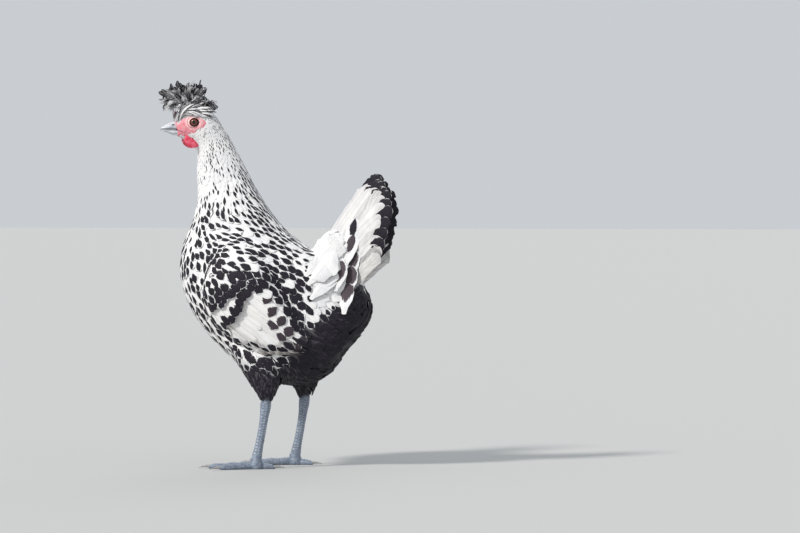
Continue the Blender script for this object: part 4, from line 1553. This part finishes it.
# columns of plates round the shank: angle from its front in degrees, first height, step, width, length, in mm
SHANK_PLATES = (
    (0, 71.5, 3.4, 5.6, 6.0), (62, 70.5, 3.4, 4.6, 5.4), (-62, 69.0, 3.4, 4.6, 5.4),
    (112, 70.0, 2.8, 3.4, 4.0), (-112, 69.0, 2.8, 3.4, 4.0),
    (153, 70.5, 2.6, 3.2, 3.8), (-153, 69.5, 2.6, 3.2, 3.8),
)
PLATES_END = 15.0  # mm over the floor, where the plates of the shank give way to those of the toes
for side, leg_surface in zip("LR", leg_surfaces):
    rng = np.random.default_rng(600)
    tips, ways, widths, lengths = [], [], [], []
    points = leg_surface.points
    for angle, first, step, width, length in SHANK_PLATES:
        bearing = math.radians(angle)
        outward = np.array((math.sin(bearing), -math.cos(bearing), 0))
        for z in np.arange(first, PLATES_END, -step) * 0.001:
            ring = points[np.abs(points[:, 2] - z) < 0.0012, :2]
            tips.append(np.append((ring.max(axis=0) + ring.min(axis=0)) / 2, z) + outward * 0.006)
            ways.append((0.0, 0.0, -1.0))
            widths.append(width)
            lengths.append(length)
    for toe in ("inner", "middle", "outer", "hind"):
        pad_low, pad_high = (np.array(corner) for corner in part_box("foot_pad_" + side))
        claw_low, claw_high = (np.array(corner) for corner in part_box("claw_" + toe + "_" + side))
        start, end = (pad_low + pad_high) / 2, (claw_low + claw_high) / 2
        toe_way = unit((end - start) * np.array((1, 1, 0)))
        reach = np.linalg.norm((end - start)[:2])
        for walked in np.arange(0.006, reach - 0.001, 0.0031):
            above = start + toe_way * walked + np.array((0, 0, 0.03))
            hit = leg_surface.tree.ray_cast(Vector(above), Vector((0, 0, -1)))[0]
            if hit is not None:
                tips.append(np.array(hit))
                ways.append(toe_way)
                widths.append(6.2 - 26 * walked)
                lengths.append(5.2)
    tips, ways = np.array(tips), np.array(ways)
    count = len(tips)

    def ways_of(places, ways=ways):
        return ways

    widths = np.array(widths) * 0.001 * rng.uniform(0.94, 1.06, count)
    lengths = np.array(lengths) * 0.001 * rng.uniform(0.94, 1.06, count)
    depth, lift = np.full(count, 0.0007), np.full(count, 0.00022)
    vanes = lay_vanes(leg_surface, tips, ways_of, widths, lengths, depth, lift, 8, 6, rng,
                      roundness=0.45, slim=1.0, fray=np.full(count, 0.02), slant=0.0, arch=0.03)
    vanes[0][..., 2] = np.maximum(vanes[0][..., 2], 0.00004)
    marks = np.stack([np.zeros(count), np.zeros(count), np.zeros(count), rng.random(count)], 1)
    plates = build_vanes("leg_scales_" + side, vanes, marks, np.zeros((count, 4)))
    plates.data.materials.clear()
    plates.data.materials.append(scale_material)

# ------------------------------------------------------------------------------------------------- claws
# Short blunt claws of pale horn, arched over the ground in front of each toe.
claw_material, tree, shader = new_material("horn_claw")
place = node(tree, "ShaderNodeTexCoord").outputs["Object"]
layers = node(tree, "ShaderNodeTexNoise", {"Vector": place, "Scale": 700.0, "Detail": 3.0}).outputs[0]
horn = mix(tree, ramp(tree, layers, 0.35, 0.65), (0.2, 0.2, 0.21, 1), (0.42, 0.4, 0.38, 1))
tree.links.new(horn, shader.inputs["Base Color"])
tree.links.new(ramp(tree, layers, 0.3, 0.7, 0.3, 0.45), shader.inputs["Roughness"])
bump = node(tree, "ShaderNodeBump", {"Height": layers, "Strength": 0.3, "Distance": 0.0002}).outputs[0]
tree.links.new(bump, shader.inputs["Normal"])
for side in "LR":
    for toe in ("inner", "middle", "outer", "hind"):
        name = "claw_" + toe + "_" + side
        low, high = (np.array(corner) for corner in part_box(name))
        pad = np.array(sum(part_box("foot_pad_" + side), Vector())) / 2
        flat_way = unit(((low + high) / 2 - pad) * np.array((1, 1, 0)))
        reach = np.abs(flat_way[:2]) @ (high - low)[:2] / 2
        middle = (low + high) / 2
        bpy.ops.object.select_all(action="DESELECT")
        bpy.ops.curve.primitive_bezier_curve_add()
        claw = bpy.context.object
        claw.name = "nail_" + toe + "_" + side
        spline = claw.data.splines[0]
        root, tip = spline.bezier_points
        root.co = middle - flat_way * (reach + 0.0015) + np.array((0, 0, 0.0004))
        root.handle_left = np.array(root.co) - flat_way * 0.002
        root.handle_right = np.array(root.co) + flat_way * reach * 0.8 + np.array((0, 0, 0.0016))
        tip.co = middle + flat_way * reach + np.array((0, 0, low[2] + 0.0004 - middle[2]))
        tip.handle_left = np.array(tip.co) - flat_way * reach * 0.5 + np.array((0, 0, 0.0022))
        tip.handle_right = np.array(tip.co) + flat_way * 0.001
        root.radius, tip.radius = 1.0, 0.16
        spline.use_endpoint_u = True
        claw.data.resolution_u = 14
        claw.data.bevel_depth = min(0.0023, (high[2] - low[2]) * 0.42)
        claw.data.bevel_resolution = 6
        claw.data.use_fill_caps = True
        bpy.ops.object.convert(target="MESH")
        points = points_of(claw)
        points[:, 2] = np.maximum(points[:, 2], 0.00002)
        claw.data.vertices.foreach_set("co", points.reshape(-1).astype(np.float32))
        claw.data.polygons.foreach_set("use_smooth", np.ones(len(claw.data.polygons), bool))
        claw.data.materials.clear()
        claw.data.materials.append(claw_material)
        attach(claw, "root")
        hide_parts(name)

# ------------------------------------------------------------------------------------------------- finish
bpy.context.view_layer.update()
